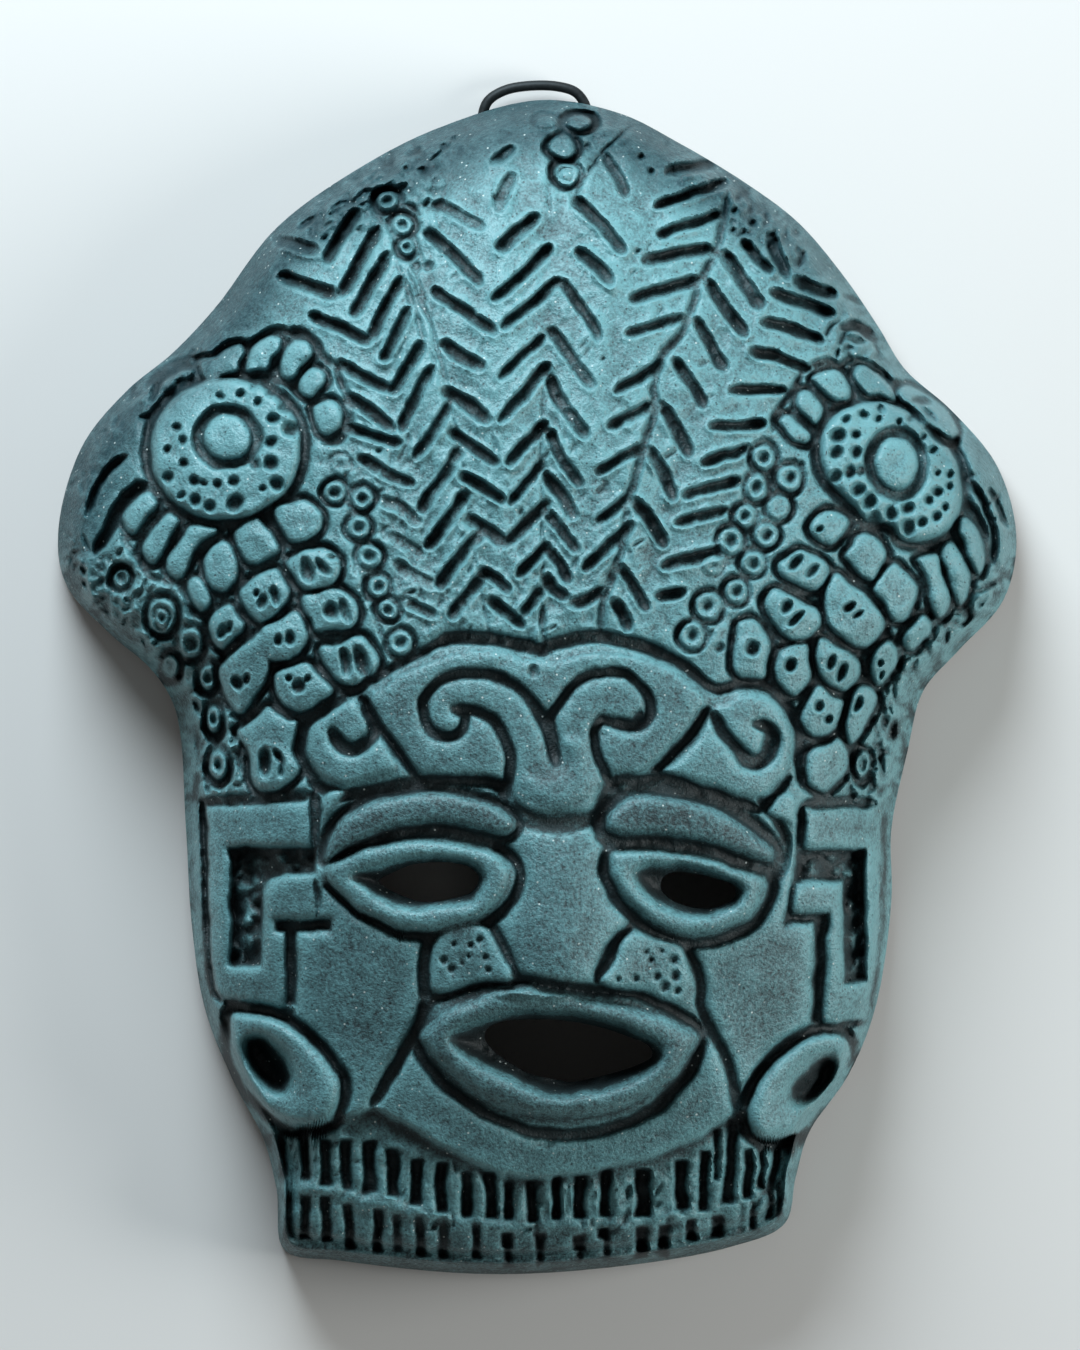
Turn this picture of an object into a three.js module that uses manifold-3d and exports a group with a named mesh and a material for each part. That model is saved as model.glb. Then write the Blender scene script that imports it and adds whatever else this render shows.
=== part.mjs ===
// A carved ceramic wall mask, hollow at the back, lying face up on its rim, with a wire hanging loop.
// Millimetres: +X to the right of the face, +Y to the top of the headdress, +Z out of the face.

import * as THREE from 'three';
import { mergeVertices } from 'three/addons/utils/BufferGeometryUtils.js';
import Module from 'manifold-3d';

const wasm = await Module();
wasm.setup();

// The clay shell
const CREST = 50;                                   // height of the face over the rim plane
const DOME_POWER = 2.4;                             // how full the dome is before it falls away
const WALL = 7.5;                                   // thickness of the clay
const TOP_WALL = 5.5;                               // more clay at the top, where the wire passes
const RIM = 6.5;                                    // upright foot of the rim
const EDGE = 5;                                     // width of the rounding above the foot
const EDGE_POWER = 2.2;                             // how tight that rounding is
const FULL_SIDES = 1.03;                            // over 1, the sides stand up steeper from the rim
const FULL_NECK = 0.1;                              // and the neck by this much more
const POLE = { x: 0, y: 10 };                       // the crest of the dome, which the outline surrounds
const EGG = { side: 80, top: 103, bottom: 130 };    // the smooth egg under headdress, wings and jaw
const RINGS = [1, 0.965, 0.9, 0.78, 0.62, 0.43, 0.2];
const HOLLOW_RINGS = [1, 0.93, 0.78, 0.55, 0.25];
const HOLLOW_CORNERS = 36;
const LONG_SPAN = 17;                               // a longer stretch of rim gets a corner halfway
const SKY = 90;                                     // a height above everything, where cutters end

// The rim seen from the front, from the top of the headdress down the right side and up the left
const OUTLINE = [
  [0.5, 108.5], [15.5, 106], [26.5, 100.5], [39, 93], [49, 85.5], [57.5, 75.5], [64, 66], [69, 58],
  [78, 50], [86.5, 39.5], [90, 26], [87.5, 14.5], [79, 5], [72.5, -2.5], [69.5, -14], [66.5, -28.5],
  [66.5, -42], [63.5, -62], [58.5, -74.5], [51, -85.5], [48.5, -94], [46.5, -102.5], [36, -107],
  [11.5, -111], [-11, -112], [-37, -109.5], [-47.5, -107.5], [-49, -96], [-51.5, -86.5], [-57, -76],
  [-62.5, -62], [-65, -45.5], [-66, -28.5], [-68, -6], [-72.5, 1.5], [-80, 8], [-88.5, 17.5],
  [-90, 27.5], [-85.5, 43.5], [-77, 54], [-68.5, 61], [-60.5, 69.5], [-49, 84.5], [-33, 96], [-18, 103.5],
];

// Nose: a low ridge that widens down to the nostrils
const NOSE = { x: 4.3, top: -14, bottom: -58, rise: 6, topHalf: 6, bottomHalf: 12 };

// How deep blocks and lips are set into the clay
const BURIED = 4;

// Ear discs with a ring groove round a boss, and the blocks set round each disc by angle and distance
const DISC_RISE = 2.2;
const BLOCK_RISE = 1.2;
const LEFT_DISC = {
  x: -58, y: 42.5, radius: 13.6, boss: 4, groove: 6.2,
  blocks: [
    [69, 19, 5.5, 7, -15], [51, 21, 6, 7, -25],
    [-143, 20.5, 8, 4, 47], [-127, 20.5, 8, 3.8, 52], [-110, 20.5, 10, 4.5, 50], [-92, 22, 6.2, 6.5, 35],
    [-72, 18, 6.2, 7, 33], [-44, 19, 8, 6.5, 10],
    [-89, 33.5, 6.5, 6.5, 40], [-75, 28.5, 8, 7, 33], [-53, 28, 9, 6.5, 18],
    [-85, 43.5, 8, 10, 35], [-73, 37, 8, 6.5, 30], [-57, 36.5, 8.5, 7, 15],
    [-82, 56, 8, 12.5, 10], [-72, 46.5, 8, 7.5, 20], [-59, 46, 8.5, 7.5, 25],
  ],
};
const RIGHT_DISC = {
  x: 66, y: 38, radius: 13.2, boss: 4.1, groove: 6.2,
  blocks: [
    [100, 17.5, 7, 5.5, -35], [123, 20, 6, 5, -35], [157, 19.5, 6.5, 3.8, -45],
    [-40, 19.5, 9, 3.5, -72], [-56, 21.5, 10, 3.5, -68], [-69, 22, 12, 4.2, -65], [-88, 22.5, 7.5, 8, -50],
    [-106, 16.5, 7, 6.5, -40],
    [-105, 26.5, 11, 7.5, -50], [-131, 24.5, 8, 6, -25],
    [-105, 37, 8.5, 7, -45], [-124, 32, 9.5, 6.5, -25], [-129, 42, 6.5, 9.5, 10],
    [-106, 46.5, 6.5, 8, -15], [-117, 41, 6.5, 8, -10], [-102, 56, 7, 9, -10],
  ],
};

// Feather vanes of the headdress: rows of strokes from a top to a bottom middle by way of a bend,
// with lengths and angles at top and bottom
const STROKE = { width: 2.2, depth: 1.5 };
const VANES = [
  { count: 11, top: [-43.5, 78.5], bend: [-29.5, 44], bottom: [-22.5, 13.5], length: [8.5, 9.5, 4.5], angle: [-20, -33] },
  { count: 12, top: [-35, 81], bend: [-23, 54.5], bottom: [-13, 14.5], length: [10.5, 11, 9], angle: [63, 53] },
  { count: 10, top: [-15, 87], bend: [-12.5, 47], bottom: [-6, 11.5], length: [10, 9, 5.5], angle: [-34, -34] },
  { count: 12, top: [-6, 98], bend: [-2, 56.5], bottom: [-1.5, 13.5], length: [3.5, 11.5, 3.5], angle: [47, 47] },
  { count: 11, top: [14.5, 95], bend: [5.5, 50], bottom: [4, 15], length: [8, 10.5, 3.5], angle: [-54, -51] },
  { count: 12, top: [30.5, 96], bend: [21, 61], bottom: [10, 14.5], length: [10.5, 9.5, 6], angle: [12, 35] },
  { count: 11, top: [44.5, 81], bend: [29, 54.5], bottom: [15.5, 8.5], length: [6.5, 10, 5], angle: [-55, -61] },
  { count: 11, top: [52.5, 74], bend: [38.5, 48], bottom: [25.5, 15.5], length: [8.5, 9.5, 6], angle: [-21, 27] },
];

// Grooves: the stem between the vanes, and the scrollwork over the brows, with width and depth
const STEM_GROOVES = [
  { width: 2, depth: 1.6, path: [[35.5, 88.5], [30, 73], [22, 55], [17.5, 34], [11.5, 8.5]] },
  { width: 1.2, depth: 1, path: [[-24.8, 77], [-16.5, 52], [-9, 9]] },
];
const BROW_GROOVES = [
  { width: 2.4, depth: 2.2, path: [[-31.5, -2.5], [-25.5, 2], [-14, 8.5], [0.5, 6], [12, 8], [23, 5], [32.5, -1.5]] },
  { width: 2, depth: 2, path: [[-13.5, -9.5], [-20, -9.5], [-20, -1], [-8, 0.5], [0.5, -7], [3.5, -15]] },
  { width: 2, depth: 2, path: [[-15.5, -5.5], [-9, -7], [-6, -14], [-5, -21]] },
  { width: 2, depth: 2, path: [[3.5, -14.5], [4, -6], [11, 0.5], [20.5, -2], [20.5, -9.5], [12.5, -8]] },
  { width: 2, depth: 2, path: [[12.5, -7.5], [10.5, -13.5], [12.5, -21], [11, -25]] },
  { width: 2.6, depth: 2.4, path: [[-41.5, -26], [-37, -23], [-22, -19], [-12.5, -19], [-6, -21], [-3.5, -24]] },
  { width: 2.6, depth: 2.4, path: [[11.5, -21], [19, -20], [28.5, -20.5], [36, -23], [43, -27.5], [45.5, -33]] },
  { width: 2.4, depth: 2.4, path: [[-30.5, -6], [-29, -11], [-22.5, -18.5]] },
  { width: 2.2, depth: 2.2, path: [[31.5, -7], [27, -12.5], [22, -19]] },
  { width: 2.6, depth: 2.6, path: [[-38.5, -10], [-36, -13.5], [-32.5, -12.5], [-31, -6.5]] },
  { width: 2, depth: 2, path: [[-31.5, -2.5], [-38, -4.5], [-43.5, -9], [-43.5, -17], [-38.5, -23.5]] },
  { width: 2, depth: 2, path: [[31.5, -3.5], [37, -1.5], [42.5, -2], [48, -8], [47.5, -17], [42.5, -23]] },
  { width: 2.6, depth: 2.6, path: [[32.5, -7], [37.5, -14.5], [42.5, -14], [42, -8.5]] },
];

// Brows, eyes and lips
const BROW_RISE = 2.4;
const BROWS = [
  { from: [-39.5, -33], by: [-22.5, -25], to: [-4, -28], half: 3.4 },
  { from: [12.8, -27], by: [27, -26.5], to: [44.2, -34], half: 4.5 },
];
const EYES = [
  { x: -22.2, y: -38.2, halfWidth: 17, halfHeight: 8.2, tilt: -1, open: { x: -22, y: -38.2, halfWidth: 11.4, halfHeight: 4 } },
  { x: 28.2, y: -40, halfWidth: 14.8, halfHeight: 8, tilt: -9, open: { x: 28.6, y: -39.4, halfWidth: 9.4, halfHeight: 3.8 } },
];
const EYE_RISE = 2.2;
const MOUTH = { x: 4, y: -70.8, halfWidth: 26.6, halfHeight: 12.6, tilt: -1, open: { x: 5, y: -69.6, halfWidth: 16.8, halfHeight: 6.2 } };
const MOUTH_RISE = 4;
const FACE_GROOVES = [
  { width: 2, depth: 1.6, path: [[-40, -36.5], [-30, -46], [-15, -48.5], [-4, -41], [-6, -32]] },
  { width: 2, depth: 1.6, path: [[11.5, -33.5], [14, -44], [29, -50], [43, -43], [43, -35]] },
  { width: 2, depth: 1.6, path: [[-20, -47], [-21.5, -53], [-20.5, -60], [-26.5, -72.5], [-31, -80]] },
  { width: 1.8, depth: 1.4, path: [[-9, -46], [-6, -51], [-3.5, -56.5]] },
  { width: 1.8, depth: 1.4, path: [[17, -46.5], [14.5, -51], [11.5, -56]] },
  { width: 2, depth: 1.6, path: [[27.5, -50.5], [30.5, -57], [31, -64], [36, -74], [37.5, -81]] },
  { width: 2, depth: 1.6, path: [[-23, -66.5], [-16, -58.5], [-4, -56], [20, -60], [31, -66.5]] },
  { width: 2, depth: 1.8, path: [[-25, -71.5], [-15, -80.5], [5, -86], [21, -82], [33, -71]] },
];

// Step frets on the temples: a deep bent channel, and a narrow one that bends inside it
const FRET_DEPTH = 3.2;
const FRETS = [
  { x: [-57.2, -42], y: [-32, -37.5], bar: [-57.2, -51.3], foot: -54 },
  { x: [-47.8, -38.2], y: [-45.5, -47.3], bar: [-47.8, -45.2], foot: -61.5 },
  { x: [48.2, 61.6], y: [-32.2, -37.8], bar: [57.2, 61.6], foot: -57 },
  { x: [46.8, 54.3], y: [-44, -46], bar: [51.6, 54.3], foot: -65 },
];
const FRET_GROOVES = [
  { width: 1.5, depth: 1.2, path: [[-42, -21.5], [-52, -22], [-60, -23], [-61, -36]] },
  { width: 1.8, depth: 1.8, path: [[-41.2, -22], [-41.2, -30], [-41.2, -38]] },
  { width: 1.8, depth: 1.8, path: [[64, -24], [49.5, -24], [48.5, -45]] },
];

// Ear rings under the frets: a fat oval ring round a blind hole
const EAR_RISE = 2.5;
const EAR_RINGS = [
  { x: -48, y: -74, halfWidth: 13, halfHeight: 8.8, tilt: -47, open: { x: -49.5, y: -73, halfWidth: 5, halfHeight: 3 } },
  { x: 49, y: -76.5, halfWidth: 11.5, halfHeight: 6.4, tilt: 46, open: { x: 51.5, y: -75.5, halfWidth: 4.8, halfHeight: 2.4 } },
];
const EAR_HOLE_DEPTH = 3;

// Neck band: lower than the chin, with two rows of upright cuts
const NECK_DEPTH = 2.6;
const NECK_TOP = [
  [-52, -84], [-38, -82.5], [-30.5, -81], [-24, -84.5], [-16, -89], [-8, -93], [2, -94], [12, -92.5], [22, -90],
  [30, -86.5], [37, -82], [42, -84], [51, -86],
];
const NECK_ROWS = [
  { count: 22, from: [-43.5, -90], by: [0, -98], to: [43.5, -93], length: 9, width: 2.8, depth: 2.4 },
  { count: 15, from: [-42, -101.5], by: [1, -107], to: [41, -99], length: 5.5, width: 2.4, depth: 1.6 },
];

// Hanging wire, and the two holes and the sloped back edge that it needs
const WIRE = {
  radius: 0.95, height: 4, hole: 1.6, sides: 8, steps: 24,
  path: [
    [-4.5, 90.5], [-8.4, 90.6], [-10.3, 92.5], [-10.4, 99], [-10.4, 106], [-9.2, 109], [-6, 110.7], [0.5, 111.4],
    [5.5, 110.9], [8.4, 109.5], [9.3, 106.5], [9.3, 99], [9.2, 92.5], [7.4, 90.6], [3.5, 90.5],
  ],
};
const BACK_SLOPE = { left: -8, right: 7, deep: 8.2, high: 6 };

const SMALL = 1e-4;
const LIFT = 5;                                     // how far cutters stand over the clay
const TIP_RISE = 0.06;                              // how far a groove's tip rises over the clay, by its last span

const ramp = (low, high, value) => THREE.MathUtils.smoothstep((value - low) / (high - low), 0, 1);
const mix = THREE.MathUtils.lerp;

// A point turned by an angle in degrees and moved to a place
function placed(x, y, at, degrees) {
  const turned = new THREE.Vector2(x, y).rotateAround(new THREE.Vector2(), THREE.MathUtils.degToRad(degrees));
  return [turned.x + at[0], turned.y + at[1]];
}

// A point on the curve that starts at one place, passes another halfway and ends at a third
function along(from, by, to, share) {
  return from.map((start, axis) => {
    const middle = 2 * by[axis] - (start + to[axis]) / 2;
    return (1 - share) ** 2 * start + 2 * share * (1 - share) * middle + share ** 2 * to[axis];
  });
}

// The rim as distances from the pole by angle
const rimCurve = new THREE.CatmullRomCurve3(OUTLINE.map(([x, y]) => new THREE.Vector3(x, y, 0)), true, 'centripetal');
const rimTable = rimCurve.getPoints(OUTLINE.length * 12).map((point) => ({
  angle: Math.atan2(point.y - POLE.y, point.x - POLE.x),
  distance: Math.hypot(point.x - POLE.x, point.y - POLE.y),
})).sort((one, other) => one.angle - other.angle);

function rimDistance(angle) {
  const next = rimTable.findIndex((row) => row.angle > angle);
  const after = rimTable[next < 0 ? 0 : next];
  const before = rimTable.at(next <= 0 ? -1 : next - 1);
  const turn = 2 * Math.PI;
  const span = (after.angle - before.angle + turn) % turn;
  const part = ((angle - before.angle + turn) % turn) / Math.max(span, SMALL);
  return mix(before.distance, after.distance, Math.min(part, 1));
}

// Height of the plain clay at a place: a dome over the egg that meets the real rim, a rounded edge and the nose
function clayHeight(x, y) {
  const reach = Math.hypot(x - POLE.x, y - POLE.y);
  const angle = Math.atan2(y - POLE.y, x - POLE.x);
  const rim = rimDistance(angle);
  const share = Math.min(reach / rim, 1);
  const long = y > POLE.y ? EGG.top : EGG.bottom;
  const egg = 1 / Math.hypot(Math.cos(angle) / EGG.side, Math.sin(angle) / long);
  const neck = Math.max(0, -Math.sin(angle)) ** 8;
  const lobes = ramp(0.5, 1, share);
  const spread = (1 - lobes) * reach / egg + lobes * share / (FULL_SIDES + FULL_NECK * neck);
  const dome = CREST * Math.sqrt(1 - Math.min(spread, 1) ** DOME_POWER);
  const foot = Math.min(RIM, dome);
  const rounding = 1 - (1 - Math.min((rim - reach) / EDGE, 1)) ** EDGE_POWER;
  const down = ramp(NOSE.top, NOSE.bottom, y);
  const ridge = ((x - NOSE.x) / mix(NOSE.topHalf, NOSE.bottomHalf, down)) ** 2;
  const nose = NOSE.rise * down * ramp(NOSE.bottom - 3, NOSE.bottom + 5, y) * Math.exp(-ridge);
  return foot + (dome - foot) * Math.max(rounding, 0) + nose;
}

// Height a given depth under the clay's face, measured square to it
function sunk(x, y, depth) {
  const step = 0.5;
  const slopeX = (clayHeight(x + step, y) - clayHeight(x - step, y)) / (2 * step);
  const slopeY = (clayHeight(x, y + step) - clayHeight(x, y - step)) / (2 * step);
  return clayHeight(x, y) - depth * Math.min(Math.hypot(1, slopeX, slopeY), 1.7);
}

function solidOf(geometry) {
  const bare = new THREE.BufferGeometry().setAttribute('position', geometry.getAttribute('position'));
  bare.setIndex(geometry.index);
  const merged = mergeVertices(bare, SMALL);
  const corners = merged.index.array;
  const triVerts = [];
  for (let i = 0; i < corners.length; i += 3) {
    const [a, b, c] = corners.slice(i, i + 3);
    if (a !== b && b !== c && c !== a) triVerts.push(a, b, c);
  }
  const vertProperties = merged.attributes.position.array;
  return new wasm.Manifold(new wasm.Mesh({ numProp: 3, vertProperties, triVerts: new Uint32Array(triVerts) }));
}

function geometryOf(solid) {
  const { vertProperties, triVerts } = solid.getMesh();
  const geometry = new THREE.BufferGeometry().setAttribute('position', new THREE.BufferAttribute(vertProperties, 3));
  geometry.setIndex(new THREE.BufferAttribute(triVerts, 1));
  geometry.computeVertexNormals();
  return geometry;
}

// A closed solid through loops with the same number of points, with flat ends unless it is endless
function loft(loops, endless = false) {
  const size = loops[0].length;
  const faces = [];
  for (let i = 0; i < loops.length - (endless ? 0 : 1); i++) {
    const here = i * size;
    const next = ((i + 1) % loops.length) * size;
    for (let j = 0; j < size; j++) {
      const k = (j + 1) % size;
      faces.push([here + j, here + k, next + k], [here + j, next + k, next + j]);
    }
  }
  if (!endless) {
    const last = (loops.length - 1) * size;
    endFaces(loops[0]).forEach(([a, b, c]) => faces.push([a, c, b]));
    endFaces(loops.at(-1)).forEach(([a, b, c]) => faces.push([last + a, last + b, last + c]));
  }
  const geometry = new THREE.BufferGeometry();
  geometry.setAttribute('position', new THREE.Float32BufferAttribute(loops.flat(2), 3));
  geometry.setIndex(faces.flat());
  const made = solidOf(geometry);
  if (made.volume() > 0) return made;
  geometry.setIndex(faces.map(([a, b, c]) => [a, c, b]).flat());
  return solidOf(geometry);
}

function endFaces(loop) {
  if (loop.length === 3) return [[0, 1, 2]];
  return THREE.ShapeUtils.triangulateShape(loop.map(([x, y]) => new THREE.Vector2(x, y)), []);
}

// Outlines are kept anticlockwise
function anticlockwise(outline) {
  const clockwise = THREE.ShapeUtils.isClockWise(outline.map(([x, y]) => new THREE.Vector2(x, y)));
  return clockwise ? [...outline].reverse() : outline;
}

function prism(outline, low = 0, high = SKY) {
  const shape = new THREE.Shape(anticlockwise(outline).map(([x, y]) => new THREE.Vector2(x, y)));
  const geometry = new THREE.ExtrudeGeometry(shape, { depth: high - low, bevelEnabled: false });
  return solidOf(geometry.translate(0, 0, low));
}

function ellipse(x, y, halfWidth, halfHeight, sides, degrees = 0) {
  return Array.from({ length: sides }, (_, i) => {
    const turn = (2 * Math.PI * i) / sides;
    return placed(halfWidth * Math.cos(turn), halfHeight * Math.sin(turn), [x, y], degrees);
  });
}

// An eye or mouth shape: an oval drawn out to a point at both corners
function almond(shape, tilt, turn) {
  const lid = Math.sin(turn) * Math.abs(Math.sin(turn)) ** 0.25;
  return placed(shape.halfWidth * Math.cos(turn), shape.halfHeight * lid, [shape.x, shape.y], tilt);
}

function joined(solids) {
  return solids.reduce((all, next) => all.add(next));
}

// The rim's corners, with one more halfway along each long span
function rimCorners() {
  const corners = OUTLINE.flatMap(([x, y], i) => {
    const [nextX, nextY] = OUTLINE[(i + 1) % OUTLINE.length];
    const halfway = rimCurve.getPoint((i + 0.5) / OUTLINE.length);
    return Math.hypot(nextX - x, nextY - y) > LONG_SPAN ? [[x, y], [halfway.x, halfway.y]] : [[x, y]];
  });
  return anticlockwise(corners);
}

// The clay body without carving, raised or lowered by a step, over a flat foot
function clayBody(step = 0) {
  const rim = rimCorners();
  const rings = RINGS.map((share) => rim.map(([x, y]) => {
    const at = [mix(POLE.x, x, share), mix(POLE.y, y, share)];
    return [...at, clayHeight(...at) + step];
  }));
  return loft([rim.map(([x, y]) => [x, y, 0]), ...rings]);
}

// The hollow behind the face, which follows it a wall's thickness inside
function hollow() {
  const rim = Array.from({ length: HOLLOW_CORNERS }, (_, i) => {
    const angle = 2 * Math.PI * (i / HOLLOW_CORNERS - 0.5);
    const inset = WALL + TOP_WALL * Math.max(0, Math.sin(angle)) ** 12;
    const distance = rimDistance(angle) - inset;
    return [POLE.x + distance * Math.cos(angle), POLE.y + distance * Math.sin(angle)];
  });
  const rings = HOLLOW_RINGS.map((share) => rim.map(([x, y]) => {
    const at = [mix(POLE.x, x, share), mix(POLE.y, y, share)];
    return [...at, Math.max(sunk(...at, WALL), 1)];
  }));
  return loft([rim.map(([x, y]) => [x, y, -2]), ...rings]);
}

// A groove with a V section along a path, running out to a point at both ends, cut into a face that may lie lower
function groove({ width, depth, path, lower = 0 }) {
  const sections = path.map(([x, y], i) => {
    if (i === 0 || i === path.length - 1) {
      const [nextX, nextY] = path[i === 0 ? 1 : i - 1];
      const tip = [x, y, clayHeight(x, y) - lower + TIP_RISE * Math.hypot(nextX - x, nextY - y)];
      return [tip, tip, tip];
    }
    const heading = Math.atan2(path[i + 1][1] - path[i - 1][1], path[i + 1][0] - path[i - 1][0]);
    const half = (width / 2) * (1 + LIFT / depth);
    const left = [x - half * Math.sin(heading), y + half * Math.cos(heading)];
    const right = [x + half * Math.sin(heading), y - half * Math.cos(heading)];
    return [[...left, sunk(...left, lower - LIFT)], [x, y, sunk(x, y, depth + lower)], [...right, sunk(...right, lower - LIFT)]];
  });
  return loft(sections);
}

// A straight tool stroke, widest and deepest in the middle
function stroke(at, length, degrees, width, depth, lower = 0) {
  const path = [-0.58, 0, 0.58].map((share) => placed(share * length, 0, at, degrees));
  return groove({ width, depth, path, lower });
}

function vane({ count, top, bend, bottom, length, angle }) {
  return Array.from({ length: count }, (_, i) => {
    const share = i / (count - 1);
    const long = along([length[0]], [length[1]], [length[2]], share)[0];
    return stroke(along(top, bend, bottom, share), long, mix(angle[0], angle[1], share), STROKE.width, STROKE.depth);
  });
}

// A low block with sloped shoulders on the clay
function block(outline, rise, bevel = 0.7) {
  const loop = anticlockwise(outline);
  const middle = [0, 1].map((axis) => loop.reduce((sum, point) => sum + point[axis], 0) / loop.length);
  const inner = loop.map(([x, y]) => {
    const away = Math.hypot(x - middle[0], y - middle[1]);
    const share = Math.max(1 - bevel / Math.max(away, SMALL), 0.3);
    return [mix(middle[0], x, share), mix(middle[1], y, share)];
  });
  const base = loop.map(([x, y]) => [x, y, clayHeight(x, y) - BURIED]);
  return loft([base, inner.map(([x, y]) => [x, y, clayHeight(x, y) + rise])]);
}

function blocksRound(disc) {
  return disc.blocks.map(([angle, distance, width, height, tilt]) => {
    const at = placed(distance, 0, [disc.x, disc.y], angle);
    const corners = [[-0.5, -0.5], [0.5, -0.5], [0.5, 0.5], [-0.5, 0.5]];
    return block(corners.map(([x, y]) => placed(x * width, y * height, at, tilt)), BLOCK_RISE);
  });
}

// A brow: a crescent that thins to both ends
function brow({ from, by, to, half }) {
  const steps = 6;
  const upper = [];
  const lower = [];
  for (let i = 0; i <= steps; i++) {
    const share = i / steps;
    const [x, y] = along(from, by, to, share);
    const thick = half * Math.max(Math.sin(Math.PI * share), 0.12) ** 0.6;
    upper.push([x, y + thick]);
    lower.unshift([x, y - thick]);
  }
  return block([...upper, ...lower], BROW_RISE, 1.6);
}

// A fat lip round an opening: sections from the outer foot over the crest and down inside
function lip(shape, rise, stations) {
  const profile = [[1, -BURIED], [0.92, rise * 0.5], [0.5, rise], [0.02, -BURIED]];
  const sections = Array.from({ length: stations }, (_, i) => {
    const turn = (2 * Math.PI * i) / stations;
    const outer = almond(shape, shape.tilt, turn);
    const inner = almond(shape.open, shape.tilt, turn);
    return profile.map(([share, lift]) => {
      const at = [mix(inner[0], outer[0], share), mix(inner[1], outer[1], share)];
      return [...at, clayHeight(...at) + lift];
    });
  });
  return loft(sections, true);
}

function opening(shape, stations, scale = 1.05) {
  const open = { ...shape.open, halfWidth: shape.open.halfWidth * scale, halfHeight: shape.open.halfHeight * scale };
  return Array.from({ length: stations }, (_, i) => almond(open, shape.tilt, (2 * Math.PI * i) / stations));
}

// An upside-down L channel: its arm between two x and two y values, its bar down to the foot
function fret({ x, y, bar, foot }) {
  const arm = prism([[x[0], y[0]], [x[1], y[0]], [x[1], y[1]], [x[0], y[1]]]);
  return arm.add(prism([[bar[0], y[0]], [bar[1], y[0]], [bar[1], foot], [bar[0], foot]]));
}

function neckRow({ count, from, by, to, length, width, depth }) {
  return Array.from({ length: count }, (_, i) => {
    const at = along(from, by, to, i / (count - 1));
    return stroke(at, length, 90, width, depth, NECK_DEPTH);
  });
}

function neckBand() {
  const below = [[60, -125], [-60, -125]];
  return prism([...NECK_TOP, ...below]);
}

function wireHole(x) {
  const bore = new THREE.CylinderGeometry(WIRE.hole, WIRE.hole, 40, 10);
  return solidOf(bore.translate(x, 108, WIRE.height));
}

// The clay behind the top edge slopes away, which leaves room for a nail under the wire
function backSlope() {
  const { left, right, deep, high } = BACK_SLOPE;
  const edge = Math.max(...OUTLINE.map(([, y]) => y));
  const section = [[edge - deep, -1], [edge + 5, -1], [edge + 5, high + 4], [edge + 1, high + 1]];
  const shape = new THREE.Shape(section.map(([y, z]) => new THREE.Vector2(y, z)));
  const wedge = new THREE.ExtrudeGeometry(shape, { depth: right - left, bevelEnabled: false });
  return solidOf(wedge.applyMatrix4(new THREE.Matrix4().set(0, 0, 1, left, 1, 0, 0, 0, 0, 1, 0, 0, 0, 0, 0, 1)));
}

function ceramicMask() {
  const discs = [LEFT_DISC, RIGHT_DISC];
  const discPads = discs.map(({ x, y, radius }) => prism(ellipse(x, y, radius, radius, 14)));
  const ringGrooves = discs.map(({ x, y, groove: outer, boss }) => {
    return prism(ellipse(x, y, outer, outer, 10)).subtract(prism(ellipse(x, y, boss, boss, 10)));
  });
  const earHoles = EAR_RINGS.map((ring) => prism(opening(ring, 8)));
  let mask = clayBody();
  mask = mask.add(joined(discPads).intersect(clayBody(DISC_RISE)));
  mask = mask.subtract(joined(FRETS.map(fret)).subtract(clayBody(-FRET_DEPTH)));
  mask = mask.add(joined([...discs.flatMap(blocksRound), ...BROWS.map(brow)]));
  mask = mask.add(joined([
    ...EYES.map((eye) => lip(eye, EYE_RISE, 12)),
    ...EAR_RINGS.map((ring) => lip(ring, EAR_RISE, 8)),
    lip(MOUTH, MOUTH_RISE, 16),
  ]));
  mask = mask.subtract(neckBand().subtract(clayBody(-NECK_DEPTH)));
  mask = mask.subtract(joined(ringGrooves).subtract(clayBody(0)));
  mask = mask.subtract(joined(earHoles).subtract(clayBody(-EAR_HOLE_DEPTH)));
  mask = mask.subtract(joined([...STEM_GROOVES, ...BROW_GROOVES, ...FACE_GROOVES, ...FRET_GROOVES].map(groove)));
  mask = mask.subtract(joined([...VANES.flatMap(vane), ...NECK_ROWS.flatMap(neckRow)]));
  mask = mask.subtract(hollow());
  mask = mask.subtract(joined([...EYES.map((eye) => prism(opening(eye, 10), -1)), prism(opening(MOUTH, 12), -1)]));
  mask = mask.subtract(backSlope());
  const legs = WIRE.path.map(([x]) => x);
  return mask.subtract(wireHole(Math.min(...legs))).subtract(wireHole(Math.max(...legs)));
}

function hangingWire() {
  const points = WIRE.path.map(([x, y]) => new THREE.Vector3(x, y, WIRE.height));
  const route = new THREE.CatmullRomCurve3(points, false, 'centripetal');
  const section = new THREE.Shape().absarc(0, 0, WIRE.radius, 0, 2 * Math.PI);
  const options = { steps: WIRE.steps, curveSegments: WIRE.sides / 2, bevelEnabled: false, extrudePath: route };
  return new THREE.ExtrudeGeometry(section, options);
}

const burnishedClay = new THREE.MeshStandardMaterial({ color: '#55747c', roughness: 0.45, metalness: 0 });
const annealedWire = new THREE.MeshStandardMaterial({ color: '#1d1c1b', roughness: 0.6, metalness: 0.9 });

function named(name, geometry, material) {
  const mesh = new THREE.Mesh(geometry, material);
  mesh.name = name;
  return mesh;
}

const mask = new THREE.Group();
mask.add(named('ceramic_mask', geometryOf(ceramicMask()), burnishedClay));
mask.add(named('hanging_wire', hangingWire(), annealedWire));

export default mask;
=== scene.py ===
# A carved black clay wall mask that lies face up, with the wire it hangs by. Sizes are in millimetres.
import math

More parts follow.
